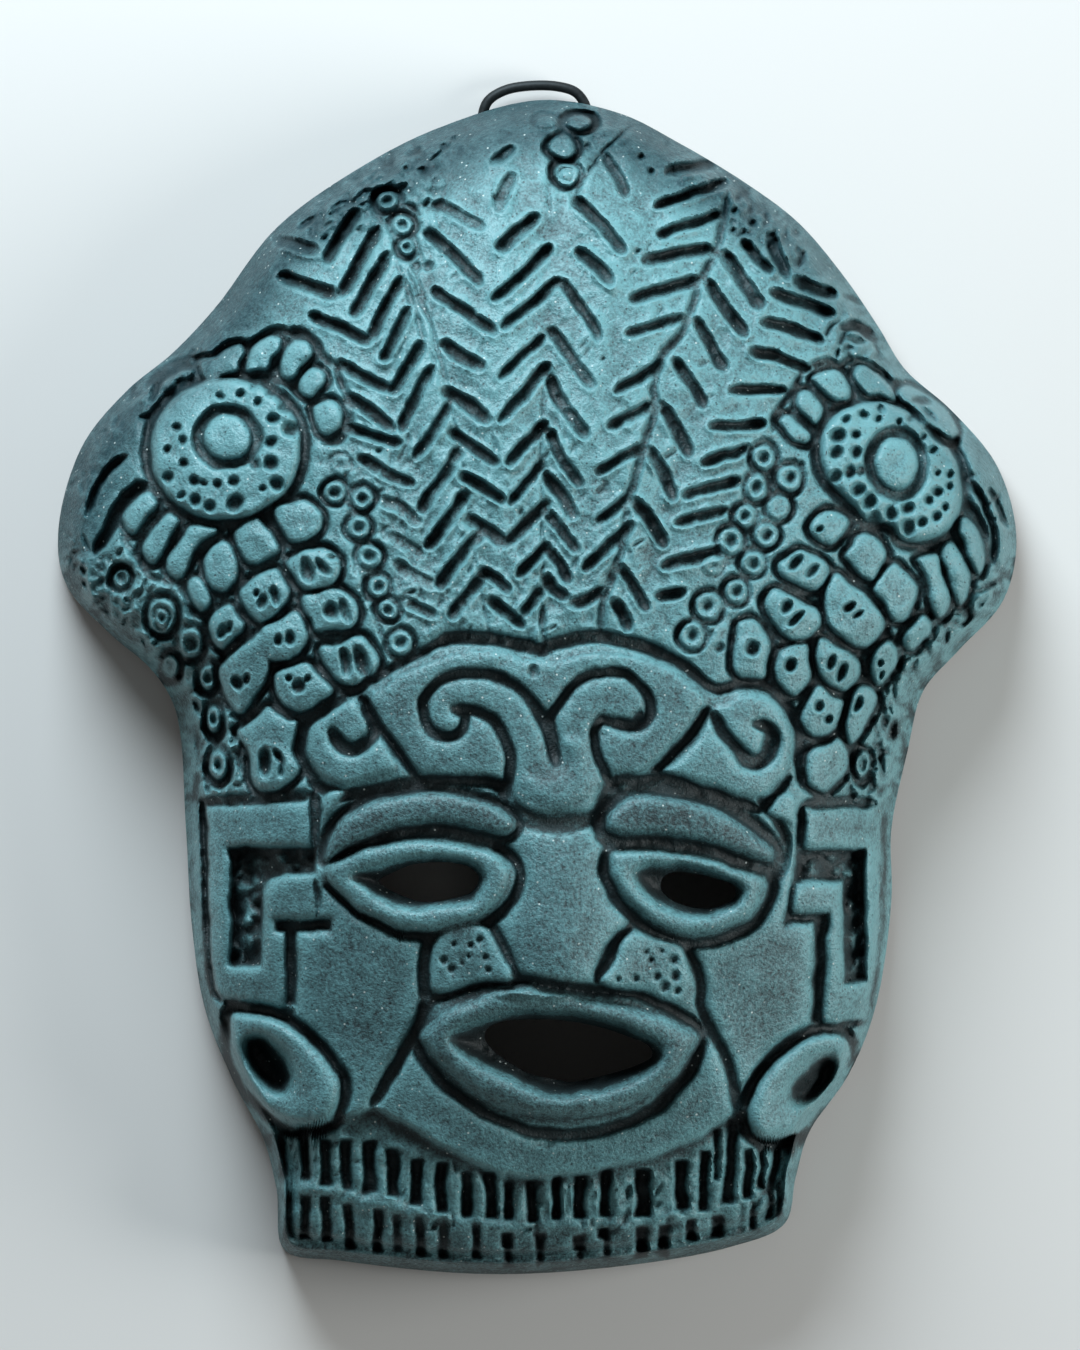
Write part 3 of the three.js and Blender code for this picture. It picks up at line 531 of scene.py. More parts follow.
# Step frets on the temples
fretChannels = [
    # outline, depth, torn ground
    ([(-57.5, -31.7), (-41.2, -31.7), (-41.2, -36.4), (-46.8, -36.6), (-49.6, -37.7), (-51, -40.1),
       (-51.5, -53.8), (-57.3, -53.9)], 3.4, 1),
    ([(-48.9, -45.3), (-38.4, -45.2), (-38.4, -47.4), (-44.8, -47.6), (-45, -61.2), (-47, -61.4),
       (-47.2, -47.8), (-48.9, -47.6)], 2.4, 0.3),
    ([(48.1, -32.2), (61.5, -32.3), (61.6, -57), (57.3, -57), (57.1, -38), (48.2, -37.8)], 3.4, 1),
    ([(46.7, -44.2), (54.4, -44.1), (53.4, -64.8), (51.2, -64.8), (51.7, -46), (46.8, -46)], 2.4, 0.3),
]
fretGrooves = [
    # path, width, depth
    ([(-62.7, -23.3), (-53.8, -22.7), (-42, -22)], 2.5, 1.8),
    ([(-62.6, -23.5), (-62.2, -37.9), (-61.8, -51.9), (-60.9, -58.8), (-59.4, -60.7)], 1.5, 2.2),
    ([(-58.3, -60.9), (-53.4, -62.2), (-50, -62.7), (-45.9, -62.4)], 1.9, 1.9),
    ([(-41.6, -21.4), (-41.4, -25.7), (-41.4, -31.7)], 2.1, 2.4),
    ([(50.2, -23.5), (56.6, -23.1), (62.9, -23.3)], 2.6, 1.8),
    ([(49.4, -24), (49, -31), (48.6, -38)], 1.9, 2.2),
    ([(50, -66.5), (55.6, -65.5), (61.4, -64.4)], 1.7, 1.6),
    ([(65, -25), (64.6, -45), (62.6, -62)], 1.2, 1.3),
    ([(-41.6, -37.9), (-41, -41.4), (-41.2, -44.6)], 1.1, 1),
    ([(47.8, -37.9), (47.4, -42.2), (46.7, -46.1)], 1.3, 1.5),
]


fretShape = {"wall": 0.5, "sink": 0.6, "torn": 1.9, "tornFrom": (0, -0.6)}


def carveFrets():
    for points, width, depth in fretGrooves:
        groove(points, width, depth, torn=0.8, shoulder=0.3)
    for points, depth, torn in fretChannels:
        part, x, y = windowOf(points, 3)
        edge = fromEdge(np.array(points, float), x, y)
        cutOut(part, edge, depth, fretShape["wall"], fretShape["sink"])
        ground = fretShape["torn"] * torn * ramp(*fretShape["tornFrom"], edge)
        rough[part] = np.maximum(rough[part], ground)


# Ear rings under the frets
def oval(cx, cy, long, wide, degrees, count=48):
    turn = np.linspace(0, 2 * math.pi, count, endpoint=False)
    a = math.radians(degrees)
    u, v = long * np.cos(turn), wide * np.sin(turn)
    return np.stack([cx + u * math.cos(a) - v * math.sin(a), cy + u * math.sin(a) + v * math.cos(a)], 1)


earRings = [
    # outline, then the blind hole
    (smoothPath([(-57.1, -63.1), (-53.4, -62.9), (-48.2, -64), (-45, -65.9), (-41.6, -69.1),
     (-38.8, -72.5), (-36.9, -75.6), (-36.9, -79.4), (-38.8, -82.7), (-43.5, -84.1), (-46.3, -83.9),
     (-50, -81.3), (-53.8, -77.5), (-56.6, -73.4), (-57.7, -69.7), (-57.7, -65.9)], True, 4),
     oval(-50.4, -72.2, 5.6, 3, -57)),
    (oval(49.1, -76.6, 12.2, 6.7, 46), oval(52, -75.2, 5.4, 2.8, 48)),
]


# A rounded lip between two outlines: it rises to the crest, drops a little and dives into the opening
lipShape = {"round": 2.4, "full": 0.75, "dropFrom": 0.72, "dive": 1.1, "edge": 0.3, "torn": 0.9}


def lipRound(outer, inner, rise, drop, slope, crest=0.45, shadeAndPolish=0.0):
    part, x, y = windowOf(outer, 2.5)
    toOuter, toInner = fromEdge(outer, x, y), fromEdge(inner, x, y)
    into = np.clip(-toOuter, 0, None)
    share = into / np.maximum(into + np.maximum(toInner, 0), 1e-3)
    bend = np.where(share < crest, share / crest, 1 + (share - crest) / (1 - crest)) - 1
    crown = rise * np.clip(1 - np.abs(bend) ** lipShape["round"], 0, 1) ** lipShape["full"]
    crown -= drop * ramp(lipShape["dropFrom"], 1, share)
    crown -= slope * (1 - np.exp(-np.clip(-toInner, 0, None) / lipShape["dive"]))
    inside = np.clip(0.5 - toOuter / lipShape["edge"], 0, 1)
    carved[part] *= 1 - inside
    burrs[part] *= 1 - inside
    rough[part] *= 1 - inside
    raised[part] = raised[part] * (1 - inside) + crown * inside
    rough[part] = np.maximum(rough[part], lipShape["torn"] * ramp(0, -1, toInner))
    # painted shade: the lip's colour is darkened by the given amount, where less light falls on it
    paintedShadeAndPolish[part] = np.maximum(paintedShadeAndPolish[part], shadeAndPolish * inside)


def carveEarRings():
    for outer, inner in earRings:
        part, x, y = windowOf(outer, 3)
        moat(part, fromEdge(outer, x, y), width=2.2, depth=2.8)
        lipRound(outer, inner, rise=2.5, drop=0.8, slope=5.5, crest=0.4)


# Discs on the wings. Pits: middle and radius
discs = [
    {"plate": oval(-58.2, 42.7, 14.2, 13.3, 0), "boss": (-57.8, 44.9), "bossLong": 4.4, "bossWide": 4.1,
     "pits": [(-67.4, 46.8, 0.7), (-66.3, 44.2, 0.7), (-69.3, 42.7, 0.6), (-66.1, 40.1, 0.8),
     (-69.1, 37.3, 0.8), (-64, 36.7, 0.9), (-62.4, 36.4, 0.7), (-59.7, 36.2, 0.7), (-56.8, 36.4, 0.8),
     (-66.3, 34.1, 0.7), (-63.9, 33, 0.9), (-61.1, 32.1, 0.9), (-56.4, 32.4, 1.3), (-48.5, 36.2, 1.2),
     (-51.3, 35.2, 0.6), (-49.6, 39.9, 1.1), (-52.6, 39.9, 0.9), (-49.8, 43.7, 0.9), (-46.1, 46.1, 1.3),
     (-49.1, 48.3, 0.9), (-47.2, 50, 0.9), (-49.6, 53, 0.8), (-52.1, 51.3, 0.8), (-53, 54.3, 0.7),
     (-55.4, 53, 0.7), (-59.2, 52.5, 0.6)]},
    {"plate": smoothPath([(52.8, 44), (52.8, 41), (53.9, 37.5), (57.9, 33.2), (61.4, 29.5), (65.9, 28.5),
     (68, 26.1), (71.9, 25.5), (75.8, 27), (78.3, 29.6), (79.4, 33.2), (79.2, 38.1), (77.9, 41.6),
     (74.9, 45.5), (71.9, 48.2), (68.5, 50.4), (64.4, 51.5), (60.3, 51.3), (56.6, 49.6), (54.3, 47.4)],
     True, 6), "boss": (67.2, 40), "bossLong": 4, "bossWide": 4.7, "pits": [(60.7, 49.3, 0.7),
     (64.2, 50.2, 0.7), (57.7, 48, 0.8), (63.5, 48.5, 0.7), (70, 48.5, 0.7), (67.8, 47.8, 0.6),
     (56.2, 45, 1.2), (59.7, 45.2, 0.7), (55.8, 42.2, 1.1), (59.6, 42, 1), (74.1, 42.7, 0.7),
     (72.3, 45.3, 0.6), (55.6, 37.7, 1.1), (58.4, 38.6, 1), (60.5, 38.6, 0.9), (77.3, 37.9, 0.7),
     (77, 35.8, 0.6), (74.9, 38.2, 0.6), (59.7, 35.1, 1.1), (63.7, 34.7, 0.7), (61.8, 32.8, 1.3),
     (62.7, 30, 1.1), (66.1, 30.8, 1.1), (69.3, 31.9, 1), (73, 33.2, 0.7), (74.5, 34.7, 0.8),
     (76, 31.9, 0.6), (74.5, 30.2, 0.7), (71.9, 29.1, 0.9), (69.3, 28, 1.2), (66.9, 32.8, 0.6)]},
]


discShape = {
    "rise": 2.4, "shoulder": 1.6, "crown": 0.2, "bossRise": 0.5, "rubbed": 0.16,
    "channel": 2.6, "channelFrom": (-0.1, 0.3), "channelTo": (2.3, 1.8),       # ring groove round the boss
    "bossShoulder": (0.2, -1.2),
    "pitGrow": 1.25, "pitDepth": 1.2, "pitDeeper": 1.1, "pitSquash": (0.85, 1.25), "seed": 17,
}


def carveDiscs():
    shape = discShape
    dice = np.random.default_rng(shape["seed"])
    for disc in discs:
        part, x, y = windowOf(disc["plate"], 3)
        edge = fromEdge(disc["plate"], x, y)
        settle(part, edge, pillow(edge, shape["rise"], shape["shoulder"], shape["crown"]))
        bx, by = disc["boss"]
        long, wide = disc["bossLong"], disc["bossWide"]
        around = (np.hypot((x - bx) / long, (y - by) / wide) - 1) * min(long, wide)
        channel = shape["channel"] * ramp(*shape["channelFrom"], around) * ramp(*shape["channelTo"], around)
        carved[part] = np.minimum(carved[part], -channel)
        raised[part] += shape["bossRise"] * ramp(*shape["bossShoulder"], around)
        paintedShadeAndPolish[part] -= shape["rubbed"] * ramp(*padded["soft"], edge)
        for x, y, radius in disc["pits"]:
            squash, degrees = dice.uniform(*shape["pitSquash"]), dice.uniform(0, 180)
            depth = shape["pitDepth"] + radius * shape["pitDeeper"]
            pit(x, y, radius * shape["pitGrow"], depth, squash, degrees, rim=0.22)


# Blocks on the wings: outline, then holes as middle, half width, half height, turn
blocks = [
    ([(-72.8, 34.5), (-71.3, 32.4), (-72.8, 30.6), (-74.1, 28.7), (-75.6, 27.2), (-77, 28.3),
       (-77.5, 29.8), (-75.8, 32.1)], []),
    ([(-68.9, 30.6), (-67.2, 29.1), (-68.7, 26.3), (-69.8, 24), (-71.3, 21.6), (-72.8, 22), (-73.7, 24.4),
       (-71.9, 27), (-70.4, 29.1)], []),
    ([(-64.4, 28.1), (-61.4, 28), (-59.7, 27.6), (-62.4, 25.9), (-63.9, 24), (-65.2, 21.4), (-66.9, 18.6),
       (-68.9, 19.9), (-69.1, 22), (-67.8, 24), (-65.9, 26.1)], []),
    ([(-58.4, 25.3), (-55.8, 19.9), (-56.6, 18.4), (-58.4, 16.4), (-60.3, 17.1), (-62, 22)], []),
    ([(-64.2, 18.6), (-62.9, 18.4), (-61.2, 14.9), (-62.7, 12.6), (-64.2, 13.6), (-65, 16.9)], []),
    ([(-57.5, 13.6), (-56.4, 12.1), (-54.9, 9.6), (-56.9, 7.6), (-58.8, 5.7), (-60.5, 7.6),
       (-61.2, 10.9)], [(-58.8, 8.9, 0.7, 1.3, -10), (-57.5, 9.6, 0.5, 1.1, -15)]),
    ([(-53, 7.4), (-52.3, 8.1), (-50.4, 1.6), (-53, -4), (-55.3, -6.5), (-56.9, -5), (-58.8, -1.6),
       (-59.2, 1.6), (-56.8, 4.4)], [(-56, -1, 0.9, 1.1, 20), (-54.3, -0.1, 0.5, 0.9, -10)]),
    ([(-50, -5.7), (-48.7, -6.6), (-46.8, -7.9), (-45, -8.1), (-45.3, -10.4), (-45.7, -13.6),
       (-44.4, -16.4), (-46.8, -19.7), (-49.1, -21.2), (-51.3, -21.2), (-53.2, -19.4), (-53.6, -15.2),
       (-54.7, -11.9), (-55.8, -10), (-54.1, -8.9), (-51.7, -7)], [(-51, -16, 1, 2.2, 0),
       (-48.2, -14.9, 0.6, 1.5, 35), (-47.8, -17.3, 0.5, 1.1, -5)]),
    ([(-52.3, 29.8), (-51.3, 28.5), (-48.3, 23.8), (-51, 22), (-53.4, 21.4), (-56.4, 26.5),
       (-54.9, 28.5)], []),
    ([(-48.9, 31.3), (-46.3, 32.4), (-43.5, 32.8), (-41, 30.9), (-40.3, 28.9), (-41.4, 26.8),
       (-45.5, 25.3), (-47.4, 27)], []),
    ([(-48.9, 20.1), (-47.4, 17.9), (-46.3, 15.1), (-48.3, 12.4), (-51.5, 10.4), (-53.8, 12.1),
       (-55.4, 16), (-54.9, 16.9)], [(-51.3, 14.1, 0.8, 1.3, -15), (-52.5, 15.8, 0.4, 0.7, -10),
       (-48.9, 15.2, 0.7, 1.7, 15)]),
    ([(-46.5, 21.4), (-44.4, 22.9), (-40.3, 24), (-37.9, 22.9), (-37.1, 20.1), (-37.9, 17.9),
       (-40.9, 16.5), (-43.5, 16.5), (-45, 18.4)], [(-42.9, 19.9, 1.1, 2.1, 15),
       (-40.1, 20.7, 0.7, 1.7, 40), (-38.2, 22.5, 0.9, 0.5, -20)]),
    ([(-43.5, 14.9), (-40.9, 15.6), (-37.3, 16.4), (-33.9, 13.9), (-33.4, 11.5), (-34.9, 9.4),
       (-38.4, 9.1), (-40.9, 8.5), (-41.8, 10.6), (-43.3, 13)], [(-38.2, 12.4, 1.3, 1.5, 15),
       (-35.8, 12.4, 0.8, 2.1, 12), (-39, 7.9, 1.9, 0.9, 0)]),
    ([(-51.3, 9.1), (-48.2, 10.4), (-45, 12.1), (-42.9, 7.6), (-44.4, 5.1), (-47, 3.5), (-50.4, 3.6),
       (-51.9, 6.5)], [(-48.2, 7.2, 0.7, 0.9, 0), (-45.9, 7.4, 0.7, 1.1, 15)]),
    ([(-40.3, 5.5), (-37.3, 5.9), (-32.8, 7.6), (-29.8, 3.6), (-30.6, 1.4), (-32.4, -0.5), (-35.4, -1.4),
       (-38.1, 0.5), (-39.9, 3.1)], [(-35.8, 2.9, 1, 2.4, 8), (-32.8, 2.9, 1.2, 2.6, 15)]),
    ([(-48.9, 0.5), (-45.9, 2), (-43.1, 2.7), (-40.9, 0.1), (-38.4, -2.5), (-40.9, -4.4), (-43.5, -6.1),
       (-46.5, -5.3), (-48.5, -3.1)], [(-44.4, -1.6, 1.1, 1.1, 0), (-46.3, -0.1, 0.5, 0.6, 0),
       (-42.9, -0.3, 0.5, 0.6, 0)]),
    ([(-63.1, 59), (-60.1, 59.7), (-57.9, 61.4), (-55.6, 62.2), (-54.9, 60.9), (-55.8, 59.2),
       (-56.2, 57.5), (-58.3, 56.9), (-60.9, 55.3), (-62.4, 56.4)], []),
    ([(-53.4, 61.1), (-52.1, 62.6), (-49.8, 63.5), (-48, 63.1), (-48.2, 61.4), (-49.6, 59.7),
       (-50.2, 57.9), (-52.5, 57.7), (-54.3, 57.5), (-54.1, 59.4)], []),
    ([(-46.7, 61.4), (-44.8, 62.6), (-42.9, 62.2), (-42, 60.5), (-43.1, 59.2), (-44.4, 57.9), (-45.9, 56),
       (-47.4, 56.4), (-47.8, 58.3), (-47.4, 60.1)], []),
    ([(-43.5, 56.4), (-42, 57.5), (-40.1, 57.1), (-39.7, 55.4), (-41, 54.1), (-42.5, 52.5), (-44, 53.6),
       (-44.2, 54.9)], []),
    ([(-41.8, 50.2), (-40.1, 51.3), (-38.6, 51.5), (-36.7, 50.2), (-36.2, 48.9), (-36.9, 47),
       (-38.6, 45.9), (-40.3, 45.7), (-41.2, 47.6)], []),
    ([(60.3, 58.3), (61.4, 58.1), (64.4, 56), (66.3, 54.1), (66.9, 52.1), (64.4, 52.8), (62, 53),
       (60.9, 54.1), (59.4, 56.6)], []),
    ([(52.8, 56.8), (54.9, 57.5), (56.6, 56.9), (58.4, 53.9), (58.1, 52.6), (56.4, 52.1), (54.9, 52.6),
       (52.8, 54.5), (51.5, 55.6)], []),
    ([(48.9, 53), (50.4, 53.4), (52.1, 52.1), (53.2, 50.4), (51.9, 47.6), (50.6, 48.7), (48.5, 51.1)],
       []),
    ([(45.5, 47.6), (46.8, 48.7), (48.5, 47.4), (50.6, 45.2), (50.2, 44), (48, 44.4), (46.5, 46.1)], []),
    ([(79.4, 29.8), (81.3, 28.5), (82.7, 25.9), (83.5, 23.5), (83.1, 20.9), (82.4, 19.5), (80.9, 22.5),
       (80.1, 25.3), (78.8, 27.4)], []),
    ([(77.1, 25.3), (78.8, 23.8), (80.1, 21.4), (80.9, 18.4), (80.3, 15.6), (78.8, 14.1), (77.9, 16.4),
       (77.1, 20.1), (75.6, 23.7)], []),
    ([(71.3, 22.3), (74.7, 23.1), (75.8, 19.5), (77.1, 15.4), (76.2, 12.4), (74.9, 11.5), (73.8, 14.5),
       (73.2, 18), (72.3, 20.5)], []),
    ([(67, 21), (68.9, 19.5), (70.8, 16.5), (70.4, 13.9), (68.2, 10.6), (66.3, 10.9), (64.8, 14.1),
       (62.9, 16.4), (64.8, 19)], []),
    ([(72.3, 11.7), (73.2, 10), (73, 8.1), (70.4, 5.5), (68.9, 5.9), (68.3, 7.6), (70.4, 10)], []),
    ([(58.8, 24.2), (59.9, 26.5), (61.8, 26.8), (64, 25.3), (65.2, 23.3), (64.4, 20.9), (62.6, 18.2),
       (61.1, 18.6), (59, 21), (57.7, 22.7)], []),
    ([(52.5, 30.2), (54.5, 31.1), (56.9, 30), (57.9, 28.7), (56.6, 27), (54.9, 25.2), (52.5, 26.1),
       (51, 28)], [(52.6, 28, 0.7, 0.5, 20)]),
    ([(46.8, 22.3), (48.9, 23.7), (51.9, 22.7), (54.3, 20.1), (53.4, 17.9), (51.3, 16.4), (48.3, 17.7),
       (45.7, 19.2), (45.3, 21.2)], [(48.2, 21.6, 0.8, 1.5, -45), (51.1, 19.7, 0.8, 1.3, -45)]),
    ([(55.8, 19.2), (58.3, 17.7), (61.4, 14.7), (63.9, 11.7), (64.4, 8.9), (61.4, 5.7), (58.8, 6.3),
       (55.8, 8.7), (53.8, 12.2), (53.8, 15.6)], [(58.3, 13.4, 1.1, 0.7, 35),
       (59.7, 11.7, 0.9, 0.4, 30)]),
    ([(43.9, 16.2), (45.9, 15.6), (49.8, 13.7), (51.9, 12.8), (52.8, 10.2), (51, 8.1), (48.3, 7.2),
       (46.3, 8.1), (43.9, 10.8), (42.4, 13.7)], [(46.3, 13.2, 0.9, 1.1, -30),
       (48.3, 11.1, 0.7, 1.5, -50)]),
    ([(37.9, 10.2), (39.7, 10.8), (41.8, 8.9), (43.5, 6.6), (42.4, 2.9), (42, 0.3), (39.4, -0.3),
       (37.3, 0.7), (36.9, 4.8), (37.3, 8.1)], [(40.1, 5.7, 1.1, 1.3, -15)]),
    ([(45.7, 5.1), (49.8, 6.3), (50.4, 3.3), (50.8, 0.3), (48.9, -2.3), (47.8, -3.1), (45, -0.8),
       (44.2, 2.3)], [(47, 2.5, 0.9, 1.1, -15)]),
    ([(52.8, 7.2), (55.3, 5.9), (58.3, 4.4), (60.1, 2.3), (59.7, -0.1), (57.3, -2.2), (55.3, -1.8),
       (53.2, -0.1), (52.3, 2.7), (52.1, 5.3)], [(54.9, 2.7, 0.7, 1.3, -20), (56.8, 0.8, 0.7, 1.5, -25)]),
    ([(62.7, 3.6), (65.7, 6.8), (67, 4.4), (66.9, 2.3), (65.2, -0.1), (63.7, -1.2), (62.4, 1.2)],
       [(64.2, 2.7, 0.5, 0.6, 0), (64.4, 0.5, 0.4, 0.7, -30)]),
    ([(52.3, -1.6), (54.7, -3.6), (56.8, -4.6), (56.4, -7.2), (54.9, -9.8), (52.8, -10.8), (50.8, -10.6),
       (49.5, -8.1), (50.2, -4.8)], [(52.5, -5.3, 0.8, 0.9, 0), (54.1, -7.9, 0.7, 0.7, 0)]),
    ([(58.8, -3.6), (60.3, -1.8), (62.2, -2.2), (63.3, -3.8), (62.4, -6.6), (59.9, -11.1), (58.4, -12.1),
       (57.7, -9.3), (58.3, -6.6)], [(59.9, -5, 0.7, 1.2, -20)]),
    ([(50.8, -13.6), (54.7, -12.2), (55.8, -11.3), (57.9, -14.1), (57.3, -17.1), (55.8, -19.2),
       (52.8, -21), (50.4, -19.2), (50.2, -16.2)], []),
]
curlPad = [
    (67.4, 53.6), (69.3, 54.9), (71.9, 53.9), (74.9, 51.9), (77.3, 49.5), (79, 45.9), (77.9, 44.4),
    (75.8, 45.2), (73, 47.4), (70.4, 49.6), (68, 51.9),
]
wingGrooves = [
    # path, width, depth: arches over the discs, curls and outer lines
    ([(-62.4, 59.7), (-61.2, 59.9), (-59, 61.8), (-56.6, 62.9), (-53.8, 62.6), (-52.3, 63.1),
       (-51.1, 64.2), (-49.3, 65), (-47, 65), (-46.3, 64.4), (-44.4, 63.9), (-41, 62.4), (-40.1, 60.1),
       (-37.9, 58.3), (-36.7, 55.3), (-35.4, 52.1), (-34.5, 48.9), (-35.1, 46.7), (-36.9, 44.2),
       (-39.9, 44)], 1.6, 1.9),
    ([(-47, 64.4), (-44.4, 64.2), (-41.8, 63.3)], 2.6, 2.4),
    ([(-62.2, 52.3), (-60.7, 54.3), (-58.4, 56), (-55.6, 56.8), (-52.8, 56.8), (-49.1, 56), (-46.3, 54.7),
       (-44.4, 53), (-42.4, 51.3)], 1.8, 2.2),
    ([(-73.4, 54.5), (-71.5, 56.9), (-67.8, 59.2), (-63.1, 59.9)], 1.5, 1.6),
    ([(-72.1, 52.1), (-71.3, 54.9), (-69.1, 57.1), (-66.5, 58.3), (-63.9, 57.9)], 1.7, 2),
    ([(-71.3, 51.1), (-68.3, 51.9), (-65.7, 54.1), (-64.2, 56.8)], 1.5, 1.7),
    ([(-68.3, 54.1), (-67.2, 55.4), (-65.7, 56)], 1.2, 1.2),
    ([(-74.3, 48.5), (-69.7, 49.1), (-65, 51.7), (-62.2, 53)], 1.6, 1.6),
    ([(-77.1, 41.2), (-79.9, 39.6), (-82.2, 36), (-84.1, 30.4)], 1.6, 1.9),
    ([(-72.8, 36.2), (-74, 35.8), (-77.1, 33.2), (-79, 30.4), (-79.9, 28.1), (-81.3, 25.7),
       (-82.4, 23.5)], 2.6, 2.7),
    ([(-77.9, 27), (-76.4, 24.4), (-74.3, 22), (-72.8, 19.5), (-69.8, 18), (-66.9, 16.9), (-65.5, 14.5)],
       1.6, 1.5),
    ([(-85, 26.6), (-84.6, 25.3), (-83.7, 23.7)], 0.9, 0.8),
    ([(-72.8, 45.9), (-73.2, 42.9), (-72.5, 39.6), (-71, 35.8)], 1.5, 1.6),
    ([(44, 45.9), (44.4, 48.2), (45.3, 50.6), (46.8, 52.6), (48.5, 55.4), (50, 57.5), (52.5, 59),
       (54.5, 59.4), (56.4, 58.1), (57.3, 58.6), (59, 59.4), (61.4, 59), (63.3, 57.9), (64.4, 56.6)], 1.6,
       1.8),
    ([(57.1, 57.1), (58.4, 54.7), (59.6, 52.3)], 1.2, 1.8),
    ([(51, 54.1), (53.2, 52.1), (55.4, 51.3), (58.4, 52.1)], 1.3, 1.9),
    ([(46.1, 49.5), (48, 49.6), (50, 47.4), (51.9, 46.3)], 1.3, 1.9),
    ([(79.4, 33.2), (81.4, 30.9), (83.3, 27.6), (84.4, 24.6)], 2.2, 2.2),
    ([(81.4, 36.2), (83.9, 31.7), (85.7, 26.5), (85.2, 21.6)], 1.7, 2.2),
    ([(84.8, 35.2), (86.9, 31.7), (88, 28.3)], 1.4, 1.8),
    ([(77.5, 42.2), (79.4, 38.1), (79.8, 33.9)], 1.1, 1.4),
    ([(80.9, 15.4), (83.7, 16.4), (86.1, 18.2)], 1.3, 1),
    ([(57.1, 65.4), (59.4, 65.9), (61.1, 65.2), (63.3, 63.5)], 2.3, 3),
    ([(58.3, 63.7), (59.7, 63.3), (61.6, 62.9)], 1.7, 1.4),
    ([(59.7, 67), (61.2, 66.5), (62.6, 64.8), (64, 63.7)], 0.9, 1),
    ([(53.9, 64), (55.1, 65.7), (56.6, 66.9)], 1, 0.8),
    ([(57.7, 71.9), (59.4, 71.2), (60.9, 69.8)], 1.4, 1.3),
    ([(63.1, 62.6), (64, 60.9), (63.9, 59)], 0.9, 0.7),
    ([(63.5, -14.3), (65, -14.1), (66.7, -14.5)], 0.8, 0.9),
]
curlGrooves = [
    ([(70.4, 52.3), (71.9, 52.3), (73.6, 51.5)], 1.9, 2),
    ([(71.7, 51.1), (73.2, 49.8), (74.5, 48.2)], 1.1, 1.2),
    ([(70.4, 50.4), (71.7, 49.3), (72.6, 48.2)], 0.8, 0.8),
    ([(73, 46.8), (74.9, 45.2), (76.6, 44.2), (78.4, 44.2), (79.4, 45.5)], 2.1, 2.4),
    ([(65.7, 55.1), (67.6, 55.4), (69.3, 55.3)], 1.4, 1.6),
    ([(67.6, 51.7), (70, 50.2), (71.7, 48.3)], 1.3, 1.6),
]


def moatRound(points, gap, gapDepth):
    path = smoothPath(points, closed=True, steps=5)
    part, x, y = windowOf(path, gap + 1)
    moat(part, fromEdge(path, x, y), gap, gapDepth)


blockHole = {"grow": 1.25, "depth": 1.7, "deeper": 0.8, "seed": 23}


def carveWings():
    dice = np.random.default_rng(blockHole["seed"])
    for disc in discs:
        moatRound(disc["plate"][::4], gap=2, gapDepth=2)
    for edge, holes in blocks:
        moatRound(edge, gap=1.6, gapDepth=2.2)
    moatRound(curlPad, gap=1.2, gapDepth=1.8)
    for points, width, depth in wingGrooves:
        groove(points, width, depth)
    carveDiscs()
    for edge, holes in blocks:
        pad(edge, rise=0.9, shoulder=0.7, crown=0.4, steps=5, grow=0.25)
    pad(curlPad, rise=0.8, shoulder=1.2, crown=0.2, steps=5)
    for points, width, depth in curlGrooves:
        groove(points, width, depth)
    for edge, holes in blocks:
        for x, y, half, other, degrees in holes:
            depth = blockHole["depth"] + dice.uniform(0, blockHole["deeper"])
            pit(x, y, half * blockHole["grow"], depth, other / half, degrees, rim=0.35)


# Ring stamps, loose pits, and short strokes under the wings
stamps = {
    # middle, radius across, radius up, hole radius
    "crown": [
        (7.8, 104.1, 2.9, 1.9, 0), (4.8, 99.4, 2.8, 2.4, 0), (5.3, 94.2, 2.6, 2.4, 0.8),
        (5.3, 94.2, 1.3, 1.2, 0),
    ],
    "leftTop": [
        (-28, 89.3, 2.4, 2.1, 0.9), (-25.2, 84.6, 2.4, 2.2, 0.9), (-24.4, 80.3, 1.8, 1.8, 0.8),
    ],
    "leftColumn": [
        (-37.9, 34.5, 2.3, 2.3, 0.9), (-32.6, 33.4, 2.4, 2.3, 0.9), (-33.4, 28.1, 2.3, 2.4, 0.9),
        (-31.3, 22.7, 2.4, 2.3, 0.9), (-29.8, 16.9, 2.3, 2.4, 0.9), (-27.8, 12.6, 2.2, 2.2, 0.9),
        (-25.5, 6.3, 2.5, 2.6, 1),
    ],
    "rightCluster": [
        (42.2, 40.9, 2.3, 2.8, 0.9), (47, 37.1, 2.5, 2.7, 0.9), (40.9, 35.4, 2.2, 2.7, 0.9),
        (45, 31.7, 2.4, 2.6, 0), (38.6, 30, 2.3, 2.6, 0.9), (42.7, 26.3, 2.5, 2.5, 0.9),
        (36, 25.5, 2.5, 2.6, 1), (40.1, 21.4, 2.4, 2.5, 1), (36.9, 16, 2.4, 2.5, 0.9),
        (31.7, 13.4, 2.8, 2.8, 0.9), (28.7, 7.8, 2.6, 2.6, 0.9),
    ],
    "leftWing": [
        (-77.9, 18.6, 1.8, 2.2, 1.1), (-70.2, 11.5, 2.9, 3.6, 0), (-70.2, 11.1, 1.4, 1.9, 0.6),
        (-64.8, 6.5, 2.6, 3.3, 1.2), (-68.7, 2, 2, 2.8, 0.9), (-61.6, 0.1, 1.9, 3, 0.7),
        (-60.5, -7.9, 1.7, 3.3, 0.7), (-59.6, -16.4, 2.2, 3.2, 0.7),
    ],
    "rightWing": [(60.7, -16, 1.7, 3.2, 1)],
}
